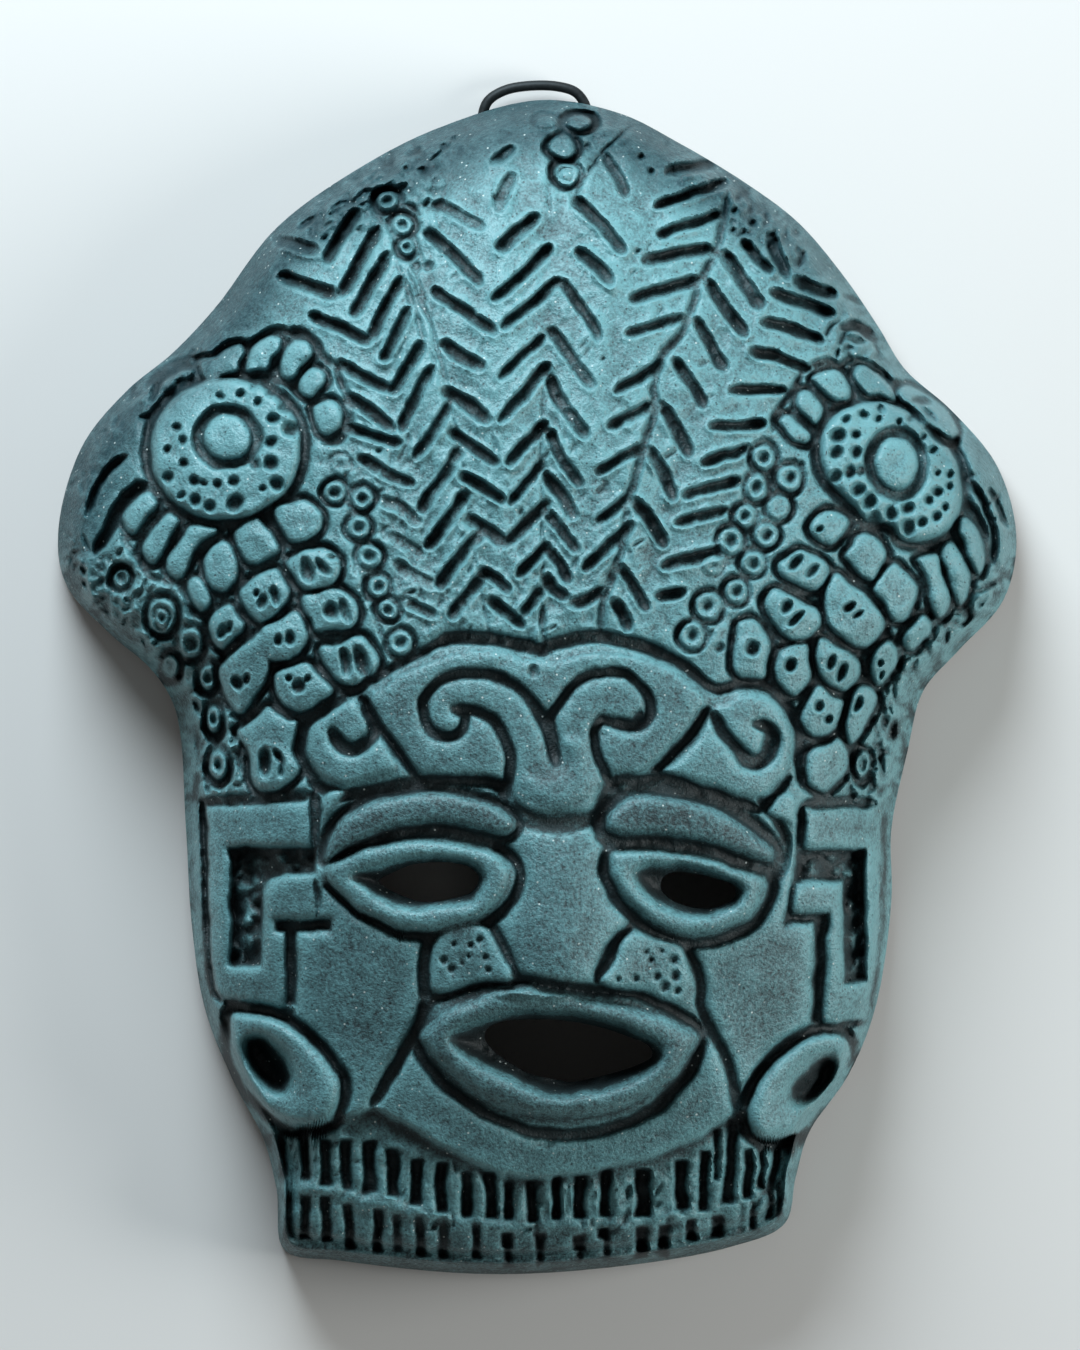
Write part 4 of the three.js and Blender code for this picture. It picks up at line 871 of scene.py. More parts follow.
faintStamps = [
    (1.4, 104.3, 2.6, 1.7, 0), (-36.7, 39.6, 2.2, 2.2, 0.8), (32.8, 20.9, 2.2, 2.3, 0.6),
    (61.8, -10.8, 1.8, 2.4, 0), (68.7, -2.3, 2, 3, 0), (72.5, 2.3, 1.8, 2.6, 0),
]
loosePits = [
    (9.3, 99.4, 0.8), (-22.7, 77, 1.1), (-20.5, 77, 0.9), (-65.9, 53.9, 0.8), (37.5, 89.7, 0.7),
    (39.4, 89.7, 0.6), (37.1, 87.2, 0.7), (39.9, 87.4, 0.7), (42.9, 86.5, 0.6), (36.9, 85, 0.7),
    (36.9, 83.7, 0.5), (40.1, 85, 0.7), (42.5, 84.8, 0.6), (48.5, 83.3, 0.7), (49.5, 79.6, 0.7),
    (-29.5, 42.2, 0.5), (18.6, 79.6, 0.5), (12.2, 59.2, 0.4), (48.9, 79.9, 0.6), (19.7, 97.7, 0.6),
    (21.4, 94.7, 0.6), (24, 100.1, 0.6), (-15.4, 101.1, 0.5), (-6.6, 97.3, 0.6), (-7.8, 89.7, 0.6),
    (-17.5, 99.8, 0.6), (-63.7, -12.2, 0.7), (-65.9, -22.3, 0.8), (-69.7, 0.3, 0.6), (-68.5, -12.1, 0.6),
    (-56.7, -11.9, 0.9), (34.1, 5.5, 0.9), (49.1, 39.6, 0.8), (65, -7.9, 0.9), (63.3, -12.6, 0.7),
]
wingStrokes = [
    (-56.4, -12.6, -55.1, -18.2), (-54.1, -13.6, -53.8, -18.2), (-62.2, -15.4, -61.6, -21),
    (-63.9, -10.8, -63.5, -14.5), (-63.9, -4.2, -63.3, -7), (-63.7, -18.2, -64.4, -22.9),
    (64, -12.6, 64.8, -18.2), (66.5, -7.9, 67, -12.6), (68.7, -10.8, 69.3, -15.4),
    (62.6, -17.3, 62.9, -21), (70, -5.1, 70.6, -8.3),
]


def stampRings():
    grow, holeGrow = stampShape["grow"], stampShape["holeGrow"]
    for group in stamps.values():
        for cx, cy, radius, other, hole in group:
            large = radius > stampShape["largeFrom"]
            width, depth = stampShape["large" if large else "small"]
            ring(cx, cy, radius * grow, other * grow, width, depth, hole * holeGrow)
    for cx, cy, radius, other, hole in faintStamps:
        ring(cx, cy, radius, other, width=0.7, depth=0.5, hole=hole, holeDepth=0.7, swell=0.15)
    for x, y, radius in loosePits:
        pit(x, y, radius * holeGrow, depth=1.3)
    for x0, y0, x1, y1 in wingStrokes:
        stroke(x0, y0, x1, y1, width=1.3, depth=1.6)


# Feather vanes of the headdress: strokes from end to end
vanes = {
    "farLeft": [
        (-48.2, 81.8, -42, 80.1), (-47.2, 74.9, -38.4, 71.7), (-41.4, 67.4, -32.4, 62.9),
        (-36.6, 58.4, -28.1, 54.1), (-35.1, 51.9, -27.8, 46.8), (-34.7, 46.3, -26.6, 43.9),
        (-32.3, 40.7, -23.8, 36.4), (-28.5, 32.8, -22.9, 29.5), (-26.6, 26.1, -22, 23.3),
        (-25.7, 21, -20.1, 17.3), (-24.2, 14.1, -19.7, 11.7),
    ],
    "left": [
        (-34.1, 86.7, -38.8, 78.6), (-30.4, 82.9, -36, 72.3), (-28.3, 78.4, -33.9, 68.5),
        (-25.7, 73.6, -30.8, 64), (-24.2, 68.2, -28.5, 59.7), (-21.8, 61.4, -26.6, 53.8),
        (-20.1, 57.3, -25.3, 47), (-16.5, 50.4, -22.2, 41.6), (-14.7, 41.8, -21.2, 31.7),
        (-13.7, 33.6, -19.7, 25.2), (-11.1, 26.3, -17.9, 17.5), (-10, 18.8, -15.4, 12.1),
    ],
    "leftInner": [
        (-18.2, 88.4, -10.8, 84.4), (-20.1, 82.6, -11.3, 74.1), (-18.8, 71.7, -8.7, 64.6),
        (-16.7, 61.8, -11.1, 58.3), (-16.7, 53.2, -9.8, 48.5), (-15.8, 45.3, -8.1, 40.3),
        (-13.9, 37.3, -7, 33.2), (-12.6, 29.1, -6.6, 25.2), (-10, 19.5, -5.7, 16.7),
        (-8.3, 14.1, -3.5, 10.4),
    ],
    "midLeft": [
        (-5.1, 98.6, -7.6, 96.8), (-5.1, 93, -7, 88.4), (-0.8, 85.7, -6.5, 80.5), (1.8, 79.6, -7.2, 71.2),
        (3.5, 73.4, -5.7, 65.7), (0.5, 63.1, -6.3, 56.6), (1.6, 57.9, -6.3, 48.5), (1, 46.8, -4.8, 40.5),
        (0.5, 39.2, -4.6, 33.2), (1.4, 31.9, -5.5, 25.3), (1.2, 24, -2.9, 19.7), (0.5, 16, -2.3, 12.6),
    ],
    "midRight": [
        (13, 96.8, 16.5, 91), (7.6, 88.7, 15.6, 80.3), (8.1, 79, 13.2, 74), (4.8, 73.2, 11.1, 63.9),
        (3.1, 64.2, 9.6, 54.9), (2.3, 55.3, 8.5, 45.7), (2.3, 45.3, 7.4, 36.7), (2, 36.9, 6.6, 30.6),
        (2.2, 30.4, 6.8, 24.4), (2.2, 23.1, 5.5, 18.6), (2, 18, 5, 15.2),
    ],
    "rightInner": [
        (32.6, 96.4, 25.3, 94.7), (34.7, 92.5, 22.9, 88.4), (33.8, 86.7, 23.5, 82.9),
        (31.9, 79.9, 20.9, 78.1), (29.3, 74.1, 18.4, 70.8), (26.5, 66.9, 17.5, 64.4),
        (22.7, 58.1, 15.4, 53.6), (20.5, 50.4, 14.1, 47.2), (18.8, 42.5, 11.9, 38.8),
        (16.4, 33, 12.1, 29.6), (16.9, 28, 9.6, 20.9), (12.2, 16, 7, 13.7),
    ],
    "right": [
        (39, 80.9, 43.3, 76.4), (44, 81.8, 46.5, 75.8), (35.1, 78.6, 41.4, 70), (32.1, 73.4, 38.4, 64.6),
        (29.8, 66.1, 34.5, 58.3), (26.1, 58.4, 30.6, 51.3), (23.5, 50, 28.1, 42.2),
        (21.2, 41.8, 24.8, 34.1), (18.4, 32.4, 23.1, 25.7), (16, 20.1, 19.9, 13.4),
        (14.7, 13.7, 16.9, 9.8),
    ],
    "farRight": [
        (49.1, 74.1, 55.1, 71.9), (44.8, 71.7, 54.7, 68.2), (42.9, 66.1, 52.3, 63.3),
        (40.7, 60.7, 49.8, 57.9), (36.7, 53.4, 45.2, 53.6), (33.2, 47, 41.6, 47.2),
        (31.9, 40.1, 38.8, 42.5), (28, 34.1, 36.9, 36.6), (26.6, 28.9, 34.7, 30.9),
        (24.2, 21, 33.9, 23.5), (23.1, 15.2, 26.6, 16),
    ],
}
faintVanes = {"midLeft": (0, 1), "midRight": (0,), "leftInner": (0,), "farLeft": (0, 7, 8, 9, 10)}
stems = [
    # path, width, depth
    ([(35.4, 88.4), (33.6, 80), (31, 75.3), (28.5, 68.7), (26.6, 64), (22.9, 59.4), (21.4, 54.7),
       (22, 51), (20, 44.4), (18.2, 36.9), (16.9, 32.3), (15, 22), (12.6, 14.5), (11.3, 8.5)], 1.9, 1.5),
    ([(-24.8, 77.1), (-18.6, 62.2), (-16.4, 51.9), (-14.5, 42.5), (-11.5, 22), (-8.9, 7)], 0.6, 0.7),
    ([(-26.2, 77.3), (-20.3, 62), (-17.3, 51.5), (-15.4, 42)], 0.5, 0.6),
    ([(-23.1, 77), (-21.2, 70.6), (-19, 62.2), (-16.9, 51.9)], 0.5, 0.6),
    ([(-27, 79), (-23.4, 70.5), (-20.8, 62)], 1.2, 0.8), ([(0.7, 13.6), (1, 8), (0.8, 4.5)], 1.2, 1.2),
    ([(1, 54), (0.6, 40), (0.9, 28), (0.7, 14)], 0.7, 0.6),
    ([(-30.9, 91.5), (-35.1, 88.7), (-38.8, 86.5)], 0.9, 0.9),
    ([(17.7, 103.5), (13.6, 99.6), (9.3, 94.3), (6.3, 87.6)], 0.7, 0.9),
    ([(-31.9, 88.4), (-29.8, 86.3), (-28, 83.7)], 1, 1),
    ([(35.6, 90.8), (35.2, 84.6), (33.4, 78.4)], 1.1, 1.1),
    ([(4.2, 95.3), (2, 91.2), (2.7, 86.5)], 0.7, 0.5),
    ([(-27.6, 41.6), (-26.1, 32.3), (-23.5, 22), (-21, 12.6), (-20.1, 7)], 0.7, 0.6),
    ([(-36, 38.8), (-34.7, 29.5), (-32.8, 20.1), (-29.5, 8.9), (-26.6, 3.3)], 0.9, 0.9),
    ([(-23.8, 86.5), (-22.7, 81.8), (-21.2, 77.1)], 0.8, 0.9),
    ([(-29.8, 87), (-27.2, 82.6), (-25.3, 77.7)], 0.8, 0.9),
    ([(-38.6, 87.4), (-36.7, 88.9), (-35.1, 89.1), (-33.6, 90), (-32.4, 91.3), (-31.1, 91.3)], 0.7, 1.1),
    ([(-27.6, 85.2), (-25.7, 87.6), (-23.8, 88.2), (-22.2, 86.7)], 1.4, 1.5),
    ([(-20.1, 96.8), (-16, 100.1)], 0.7, 0.8),
]
# Low swells and hollows of the hand: middle line, half width, height
swells = [
    ([(-8.9, 98.6), (-7, 65), (-6.1, 36.9)], 4.5, 0.9),
    ([(15.4, 83.7), (11.7, 61.2), (9.8, 42.5)], 4.5, 0.9),
    ([(-20.5, 66.9), (-17.3, 42.5), (-14.1, 20.1)], 3.5, 0.6),
    ([(22.9, 72.5), (17.3, 42.5), (15.4, 22)], 3.5, 0.5),
    ([(2, 83.7), (1.6, 48.2), (1.6, 14.5)], 2.6, -0.7),
    ([(-36, 83.7), (-25.7, 48.2), (-18.2, 14.5)], 2.6, -0.5),
    ([(-22, 78.1), (-12.6, 36.9), (-9.8, 14.5)], 2.6, -0.5),
    ([(38.8, 76.2), (28.5, 48.2), (21, 18.2)], 2.6, -0.6), ([(12.2, 97.1), (16.9, 90.4)], 2.5, -0.6),
    ([(30.4, 96.8), (28.5, 86.5)], 5, 0.6),
]


# A vane stroke: ranges of its measures, how far it bows, and how far it runs past its marks
vaneStroke = {
    "width": (2.1, 2.7), "depth": 2.1, "deep": (0.9, 1.15), "faint": 0.45, "burr": (0.3, 0.8),
    "bow": 0.3, "longer": 0.35, "seed": 7, "swellPolishAndSheen": 0.3,
    "shape": {"ends": 0.45, "square": 0.85, "lean": 0.55, "torn": 0.9},
}


def carveVanes():
    dice = np.random.default_rng(vaneStroke["seed"])
    for points, half, height in swells:
        path = smoothPath(points) if len(points) > 2 else np.array(points)
        part, x, y = windowOf(path, half * 3)
        swell = np.exp(-(awayFrom(path, x, y)[0] / half) ** 2)
        raised[part] += height * swell
        # the swells are painted paler: rubbed clay, and a painted sheen on their crests
        paintedShadeAndPolish[part] -= vaneStroke["swellPolishAndSheen"] * max(height, 0) * swell
    for name, marks in vanes.items():
        for i, (x0, y0, x1, y1) in enumerate(marks):
            faint = i in faintVanes.get(name, ())
            deep = vaneStroke["faint"] if faint else dice.uniform(*vaneStroke["deep"])
            bow = dice.uniform(-vaneStroke["bow"], vaneStroke["bow"])
            middle = ((x0 + x1) / 2 + bow, (y0 + y1) / 2 + bow)
            longer = vaneStroke["longer"] / max(math.hypot(x1 - x0, y1 - y0), 1)
            x0, x1 = x0 - longer * (x1 - x0), x1 + longer * (x1 - x0)
            y0, y1 = y0 - longer * (y1 - y0), y1 + longer * (y1 - y0)
            width, burr = dice.uniform(*vaneStroke["width"]), dice.uniform(*vaneStroke["burr"])
            path = [(x0, y0), middle, (x1, y1)]
            groove(path, width, vaneStroke["depth"] * deep, burr=burr, **vaneStroke["shape"])
    for points, width, depth in stems:
        groove(points, width, depth, burr=0.15)


# Scrollwork over the brows
scrolls = {
    "plate": [
        (-30.9, -2.3), (-29.8, -1.8), (-28.1, -0.8), (-25.6, 0.8), (-22.3, 2.3), (-18.4, 3.6),
        (-15.2, 4.8), (-12.1, 5.3), (-8.7, 5.1), (-5.5, 4.6), (-2.3, 3.4), (1, 3.3), (4, 3.3), (7.6, 4.2),
        (11.7, 5), (16.7, 4.2), (21.8, 3.3), (25.3, 1.8), (28.6, -0.5), (30.8, -2.7), (31.7, -4.9),
        (30.4, -6.6), (28.2, -9.6), (25.3, -12.4), (22.2, -15.7), (19.2, -18.2), (16.7, -19),
        (14.1, -18.8), (11.9, -20.7), (11.1, -24.4), (7, -25.3), (0.5, -25.2), (-5.1, -24), (-5.9, -19.9),
        (-8.7, -19), (-15.2, -18.4), (-21.8, -18.4), (-23.7, -16.7), (-25.3, -14.5), (-27.2, -11.9),
        (-28.9, -10), (-30.2, -7.9), (-31.7, -5),
    ],
    "tongue": [
        (2.9, -10.8), (3.5, -13.2), (4.2, -15.8), (1.4, -16.9), (-3.3, -16.4), (-4.8, -18.2), (-4.4, -21),
        (-1.8, -23.8), (2.3, -25.3), (7, -25), (10.2, -22.9), (11.9, -20.1), (11.3, -16.4), (10.6, -13.2),
        (10.2, -10.8), (7, -8.9),
    ],
    "leftCurl": [
        (-36.9, -5), (-40.9, -7.4), (-42.6, -9.6), (-43.1, -12.2), (-42.7, -14.9), (-41.4, -17.1),
        (-39.9, -18.6), (-36.9, -19.9), (-33, -19.7), (-29.8, -18.6), (-26.3, -17.1), (-26.5, -15.1),
        (-28.3, -12.4), (-30.2, -10.2), (-31.3, -7.2), (-33, -4.8), (-35.1, -4.2),
    ],
    "rightCurl": [
        (32.6, -5.3), (34.7, -4.5), (38.4, -2.7), (41.2, -2.7), (44.2, -4.1), (46.3, -6.6), (47.6, -9.9),
        (47.8, -13.6), (46.7, -17.1), (44.9, -20), (42, -22.9), (39.1, -22.5), (34.7, -21.1),
        (29.3, -19.4), (24.6, -18.2), (23.5, -17.3), (25.5, -15.8), (28.1, -13), (30.2, -10.4),
        (31.9, -7.8),
    ],
}
scrollGrooves = [
    # path, width, depth
    ([(-36.6, -3.1), (-33.8, -2.5), (-30.5, 0.1), (-27.6, 1.8), (-24.3, 3.4), (-21, 5), (-18.4, 6.5),
       (-15.9, 7.4), (-13.4, 7.6)], 1.9, 2.3),
    ([(-18.4, 6.5), (-15.9, 7.4), (-13.4, 7.6), (-10, 7.3), (-7.2, 6.9), (-4.9, 6.3), (-2.3, 5.8),
       (1, 5.3), (2.2, 6.2), (5.9, 7), (9.4, 7.8), (13, 7.6), (16.7, 6.7), (20.3, 5.7), (23.8, 4.2)], 2.8,
       2.8),
    ([(20.3, 5.7), (23.8, 4.2), (26.8, 2.7), (29.3, 0.9), (31.9, -1.2), (33.7, -2), (36.6, -1.4),
       (39.7, -0.8), (42.7, -1.6), (45.2, -3.5), (47.4, -6.3), (48.9, -9.9), (49.1, -12.8), (48.9, -16.4),
       (49.6, -20.1)], 2.1, 2.4),
    ([(-15.2, -6.5), (-13.4, -6.8), (-13.4, -8.6), (-14.3, -10.2), (-16.2, -11.1), (-18.4, -10.6),
       (-20.5, -8.9), (-21.2, -6.6), (-21, -4), (-19.4, -1.8), (-17.1, 0), (-14.3, 0.8), (-11, 0.8),
       (-7.8, 0.3), (-4.9, -1.2), (-2.3, -3.1), (-0.3, -5.3), (1, -7.6), (2, -10.2), (2.9, -12.8),
       (3.6, -15.8)], 2.2, 2.6),
    ([(-15.6, -5.7), (-13.2, -5.9), (-10.8, -6.6), (-8.7, -7.6), (-6.8, -9.9), (-5.7, -12.4),
       (-5.1, -15.1), (-5.3, -17.3), (-5.5, -20.7)], 2.2, 2.6),
    ([(3.1, -15.3), (2.9, -11.3), (2.5, -7.4), (4, -4.9), (5.9, -2.3), (7.9, -0.5), (10.6, 0.7),
       (13.7, 1.1), (17, 0.2), (19.5, -1.6), (21, -4.1), (21.2, -6.6), (20.3, -8.5), (18.8, -9.3),
       (15.6, -8.9), (13, -7.8), (12, -7.8), (10.8, -9.6), (10.8, -12.1), (11.3, -14.7), (12.3, -17.1),
       (13, -19.7)], 2, 2.6),
    ([(1.4, -7), (2.3, -9.4), (3.3, -12.6)], 2.6, 2.4),
    ([(-0.3, -5.3), (1, -6.8), (2.5, -6.1)], 1.4, 1.8),
    ([(19.2, -7), (18.4, -8.7), (16.2, -8.7), (13.6, -7.9)], 2.6, 2.7),
    ([(-42.5, -18.6), (-41.2, -19.9), (-38.6, -21.2), (-36.4, -22), (-33, -21.6), (-29.5, -20.9),
       (-26.3, -19.9), (-23.3, -19.4), (-21.8, -19), (-15.2, -19), (-8.7, -19.5), (-6.2, -20.7)], 2.4,
       2.5),
    ([(13, -20.7), (14.9, -19.5), (18.8, -19.2), (23.8, -19), (27.6, -20), (31.1, -21.4), (34.7, -22.5),
       (38.4, -23.7), (41, -24.8)], 2.5, 2.6),
    ([(-33, -4), (-31.5, -5.3), (-30.2, -7.9), (-28.9, -10), (-27.2, -11.9), (-25.3, -14.5),
       (-23.7, -16.7), (-22.7, -18.6)], 1.8, 2.2),
    ([(31.5, -5.9), (29.3, -9.3), (26.8, -12.4), (23.8, -15.6), (21.8, -17.5)], 1.8, 2.2),
    ([(-36.6, -4.2), (-39, -5.5), (-41.8, -7.4), (-43.7, -9.6), (-44.2, -12.2), (-43.9, -15.1),
       (-42.5, -17.7), (-41, -19.5)], 2.1, 2.3),
    ([(-38.2, -9.9), (-37.5, -11.9), (-35.6, -13.6), (-33.4, -13.6), (-31.5, -12.2), (-30.6, -10.2),
       (-31.1, -7.9), (-32.4, -5.7)], 2.1, 2.6),
    ([(-38.1, -10.2), (-36.9, -12.1), (-35.1, -13.2), (-32.8, -12.6), (-31.7, -11.1)], 3, 2.8),
    ([(33, -7), (34.7, -10.3), (36.9, -12.8), (38.4, -15), (40.1, -16), (42.4, -15.3), (43.9, -13.2),
       (43.9, -10.6), (42.4, -8.9), (40.9, -8.5)], 2.4, 2.7),
    ([(37.5, -13.6), (39.4, -15.4), (42, -15.1), (43.3, -13.2), (43.3, -11.1)], 3.2, 2.9),
    ([(46.7, -18.6), (44.9, -21.8), (42.4, -23.7)], 1.7, 2),
    ([(-6.1, -20.3), (-5.1, -23.5), (-2.3, -26.1), (2.3, -27.4), (7.6, -27), (11.3, -25.2),
       (12.8, -21.6)], 3.2, 1.3),
]


def carveScrolls():
    # the brow plate gets a little painted shade
    pad(scrolls["plate"], rise=1.3, shoulder=1.6, crown=0.35, steps=4, shadeAndPolish=0.2)
    pad(scrolls["leftCurl"], rise=1.2, shoulder=1.8, crown=0.35, steps=4)
    pad(scrolls["rightCurl"], rise=1.2, shoulder=1.8, crown=0.35, steps=4)
    pad(scrolls["tongue"], rise=2.2, shoulder=4, crown=0.2, steps=4)
    for points, width, depth in scrollGrooves:
        groove(points, width, depth, ends=1.0, burr=0.08, square=0.7, torn=0.3, shoulder=0.3)
    pit(-0.6, 1.1, radius=1.1, depth=1, squash=1.2, degrees=20, rim=0.3)
    pit(12.6, -10.6, radius=0.9, depth=0.5)


# Brows, eyes, pads beside the nose, mouth and chin
brows = [
    [(-39.7, -34.1), (-38.4, -29.1), (-36.6, -26.3), (-32.6, -23.8), (-26.8, -22), (-21, -21.4),
      (-15.2, -21.8), (-10.4, -22.7), (-6.5, -24.8), (-4, -27.2), (-5, -29.1), (-7.4, -29.6),
      (-12.2, -28.1), (-17.1, -27.4), (-22.9, -27.6), (-27.8, -28.7), (-32.6, -30.6), (-36.6, -32.8),
      (-39, -34.5)],
    [(12.8, -25.9), (16.2, -22.7), (21.4, -21.8), (26.6, -22.5), (31.9, -24), (37.1, -26.5),
      (41.2, -29.6), (43.9, -32.6), (43.5, -34.3), (40.3, -33.8), (33.9, -31.7), (26.6, -29.8),
      (20.3, -29.6), (15.6, -29.6), (13.4, -28.5)],
]
eyes = [
    {"lid": [(-39.6, -35.4), (-36, -33.6), (-31.7, -31.5), (-26.6, -30.6), (-22, -30), (-14.7, -30.8),
     (-10.8, -31.7), (-7.4, -32.8), (-5.5, -35.4), (-5.7, -38.8), (-8.3, -42.7), (-13.2, -45.7),
     (-21, -47.6), (-26.8, -46.7), (-30.2, -45.2), (-33.6, -43.3), (-36.6, -40.9), (-39, -38.4)], "inner":
     [(-34.1, -37.1), (-28.7, -35.4), (-22, -33.9), (-16.2, -33.8), (-12.2, -34.9), (-10.4, -37.3),
     (-12.2, -40.9), (-17.1, -42.2), (-22, -42.7), (-26.8, -41.8), (-31.7, -39.4)], "hole":
     [(-29.3, -37.9), (-26.8, -36.4), (-22.9, -34.9), (-17.1, -34.5), (-12.8, -35.4), (-11.1, -37.3),
     (-12.2, -39.7), (-16.2, -41.2), (-21, -41.8), (-24.4, -40.9), (-28.3, -39)]},
    {"lid": [(13.6, -32.6), (16.2, -31.9), (21.4, -31.9), (27.8, -33), (33.9, -34.5), (40.3, -36.4),
     (42.4, -37.9), (41.8, -41), (39.2, -44.8), (33.9, -47.4), (27.8, -48), (21.4, -45.7), (17.3, -42.2),
     (14.1, -37.9)], "inner": [(18.8, -36.9), (20.7, -35.4), (22.9, -35.1), (27.8, -35.2), (33, -36.9),
     (37.1, -38.4), (37.9, -39.7), (37.1, -41.6), (33.9, -43.7), (29.8, -44.2), (24.6, -42.7),
     (20.3, -39.9)], "hole": [(23.5, -37.5), (25.2, -36.4), (27.8, -36.4), (33, -37.5), (36.6, -39),
     (36.6, -41), (33.4, -42.7), (29.8, -42.9), (25.5, -41.6), (23.3, -39.6)]},
]
mouth = {
    "lip": [
        (-22.3, -67), (-19.7, -63.7), (-16.4, -61.1), (-12.6, -59.6), (-8.9, -58.6), (-3.6, -57.7),
        (1.4, -58.3), (6.1, -59.2), (11.7, -60.1), (17.3, -61.4), (22, -62.6), (27, -64.2), (30.4, -67.2),
        (28.9, -70.8), (27, -73.6), (24.4, -76), (21, -78.3), (17.3, -80.1), (13.6, -81.3), (8.9, -82.2),
        (4.6, -82.6), (-0.5, -82.2), (-5.1, -81.1), (-8.9, -79.6), (-12.6, -77.5), (-15.8, -74.7),
        (-19, -71.3),
    ],
    "inner": [
        (-15.1, -68), (-12.6, -65.9), (-7.9, -63.9), (-1.4, -63.1), (6.1, -63.3), (11.7, -64.4),
        (17.3, -66.3), (21.4, -68.5), (22.3, -70.6), (20.1, -73.2), (14.5, -75.5), (7.9, -77), (2, -77),
        (-4.2, -74.7), (-10.2, -71.5),
    ],
    "hole": [
        (-8.9, -65.5), (-6.1, -64.2), (-1.4, -63.9), (2.7, -63.9), (7, -64.4), (12.1, -65.5), (16.5, -67),
        (20.3, -68.7), (21, -70.6), (18.2, -72.3), (13.6, -73.8), (9.8, -74.7), (6.1, -75.3),
        (2.3, -74.7), (-1.4, -73.8), (-4.8, -71.9), (-7.8, -69.7), (-9.4, -67.4),
    ],
}
nosePads = [
    ([(-18.6, -48.3), (-14, -46.2), (-9.6, -46.5), (-6.6, -51), (-4.4, -56), (-11, -57), (-19.2, -58.6),
       (-19.8, -53)], [(-15.4, -49.6, 0.6), (-12.2, -49.8, 0.6), (-10.6, -48.7, 0.7), (-17.5, -52.8, 0.8),
       (-12.6, -51.9, 0.5), (-9.4, -51.9, 0.6), (-16, -54.3, 0.8), (-8.9, -54.3, 0.6),
       (-13.9, -53.2, 0.4)]),
    ([(17.1, -47.4), (22, -48.3), (26.8, -50.2), (28.1, -53.8), (28.5, -56.9), (27.2, -60.9),
       (20.1, -58.8), (11.9, -57.1), (14.5, -52.3)], [(25.3, -52.8, 0.9), (21.2, -52.8, 0.5),
       (22.3, -55.6, 0.7), (25.7, -55.6, 0.9), (23.7, -57.5, 1), (26.1, -58.4, 0.7), (18.4, -56, 0.6),
       (15.2, -56, 0.6), (20.3, -51, 0.5), (23.3, -51, 0.4)]),
]
faceGrooves = [
    # path, width, depth: round the eyes, nose, cheeks and lips
    ([(-39.2, -39), (-35.1, -42.4), (-30.4, -45.5), (-25.7, -47.6), (-21, -48.5), (-16.4, -48.3),
       (-10.8, -46.5), (-7, -44), (-4.2, -40.9), (-3.1, -37.5), (-3.8, -34.5), (-6.1, -32.3),
       (-8.9, -30.9)], 2.1, 2.3),
    ([(-38.8, -34.1), (-33.2, -31.5), (-25.7, -29.6), (-21, -29.1), (-16.4, -29.3), (-10.8, -30.4),
       (-6.1, -31.9)], 1.5, 1.8),
    ([(12.8, -32.3), (12.2, -36), (13.9, -40.1), (17.3, -44.2), (22, -47.8), (28.5, -49.8), (34.1, -48.9),
       (39.7, -46.5), (42.9, -42.7), (44.2, -39), (43.3, -36)], 2.2, 2.3),
    ([(13.6, -31.3), (21, -31.5), (30.4, -32.4), (37.9, -34.5), (43.1, -36.6)], 1.7, 1.9),
    ([(13.9, -22), (11.9, -23.8), (11.1, -26.6), (12.2, -30), (13.9, -31.7)], 2.3, 2.3),
    ([(41.6, -22.9), (44.6, -26.6), (46.3, -30.4), (46.1, -34.5), (44.6, -37.9)], 2, 2.1),
    ([(-20.1, -46.8), (-21, -51), (-21.2, -55.6), (-20.5, -60.3)], 2.4, 2.4),
    ([(-20.5, -60), (-22.9, -65.9), (-26.6, -72.5), (-30.8, -79.6)], 2.4, 2.4),
    ([(-8.9, -45.4), (-6.6, -49.1), (-4.8, -52.8), (-3.4, -56.4)], 1.7, 1.7),
    ([(17.1, -46), (14.5, -50), (11.7, -55.8)], 1.7, 1.8),
    ([(27.4, -49.6), (29.6, -53.8), (30.5, -57.5), (30.4, -61.2), (31.3, -64)], 2.1, 2.1),
    ([(17.1, -46.5), (15.2, -48.5), (13.6, -50.6), (12.2, -53), (11.3, -56.2)], 2.2, 2.3),
    ([(30.4, -62), (34.1, -68.7), (36.4, -74.3), (37.4, -81.4)], 2.2, 2.3),
    ([(-22.9, -66.5), (-20.1, -60.8), (-16.4, -58.6), (-10.8, -57.1), (-5.1, -56.2), (0.5, -56.7),
       (6.1, -57.7), (11.7, -58.3), (17.3, -59), (22.9, -60.9), (27.6, -63.2), (31.2, -66.8)], 2, 2.1),
    ([(-22.6, -67.4), (-21.6, -70.6), (-18.2, -75.1), (-11.7, -80.1), (-5.1, -83.4), (2.3, -85.2),
       (9.8, -84.8), (17.3, -83), (23.8, -78.9), (28.5, -73.6), (31, -68.3)], 2.5, 2.6),
]
corners = [
    # small raised triangles between curls, brows and frets
    [(42.7, -25.2), (46.5, -21.4), (48.5, -22.9), (48.5, -25.2), (47.8, -28.1), (46.7, -27)],
    [(-40.3, -22.5), (-38.4, -21), (-35.8, -21.4), (-37.7, -23.7), (-39.6, -26.3)],
]


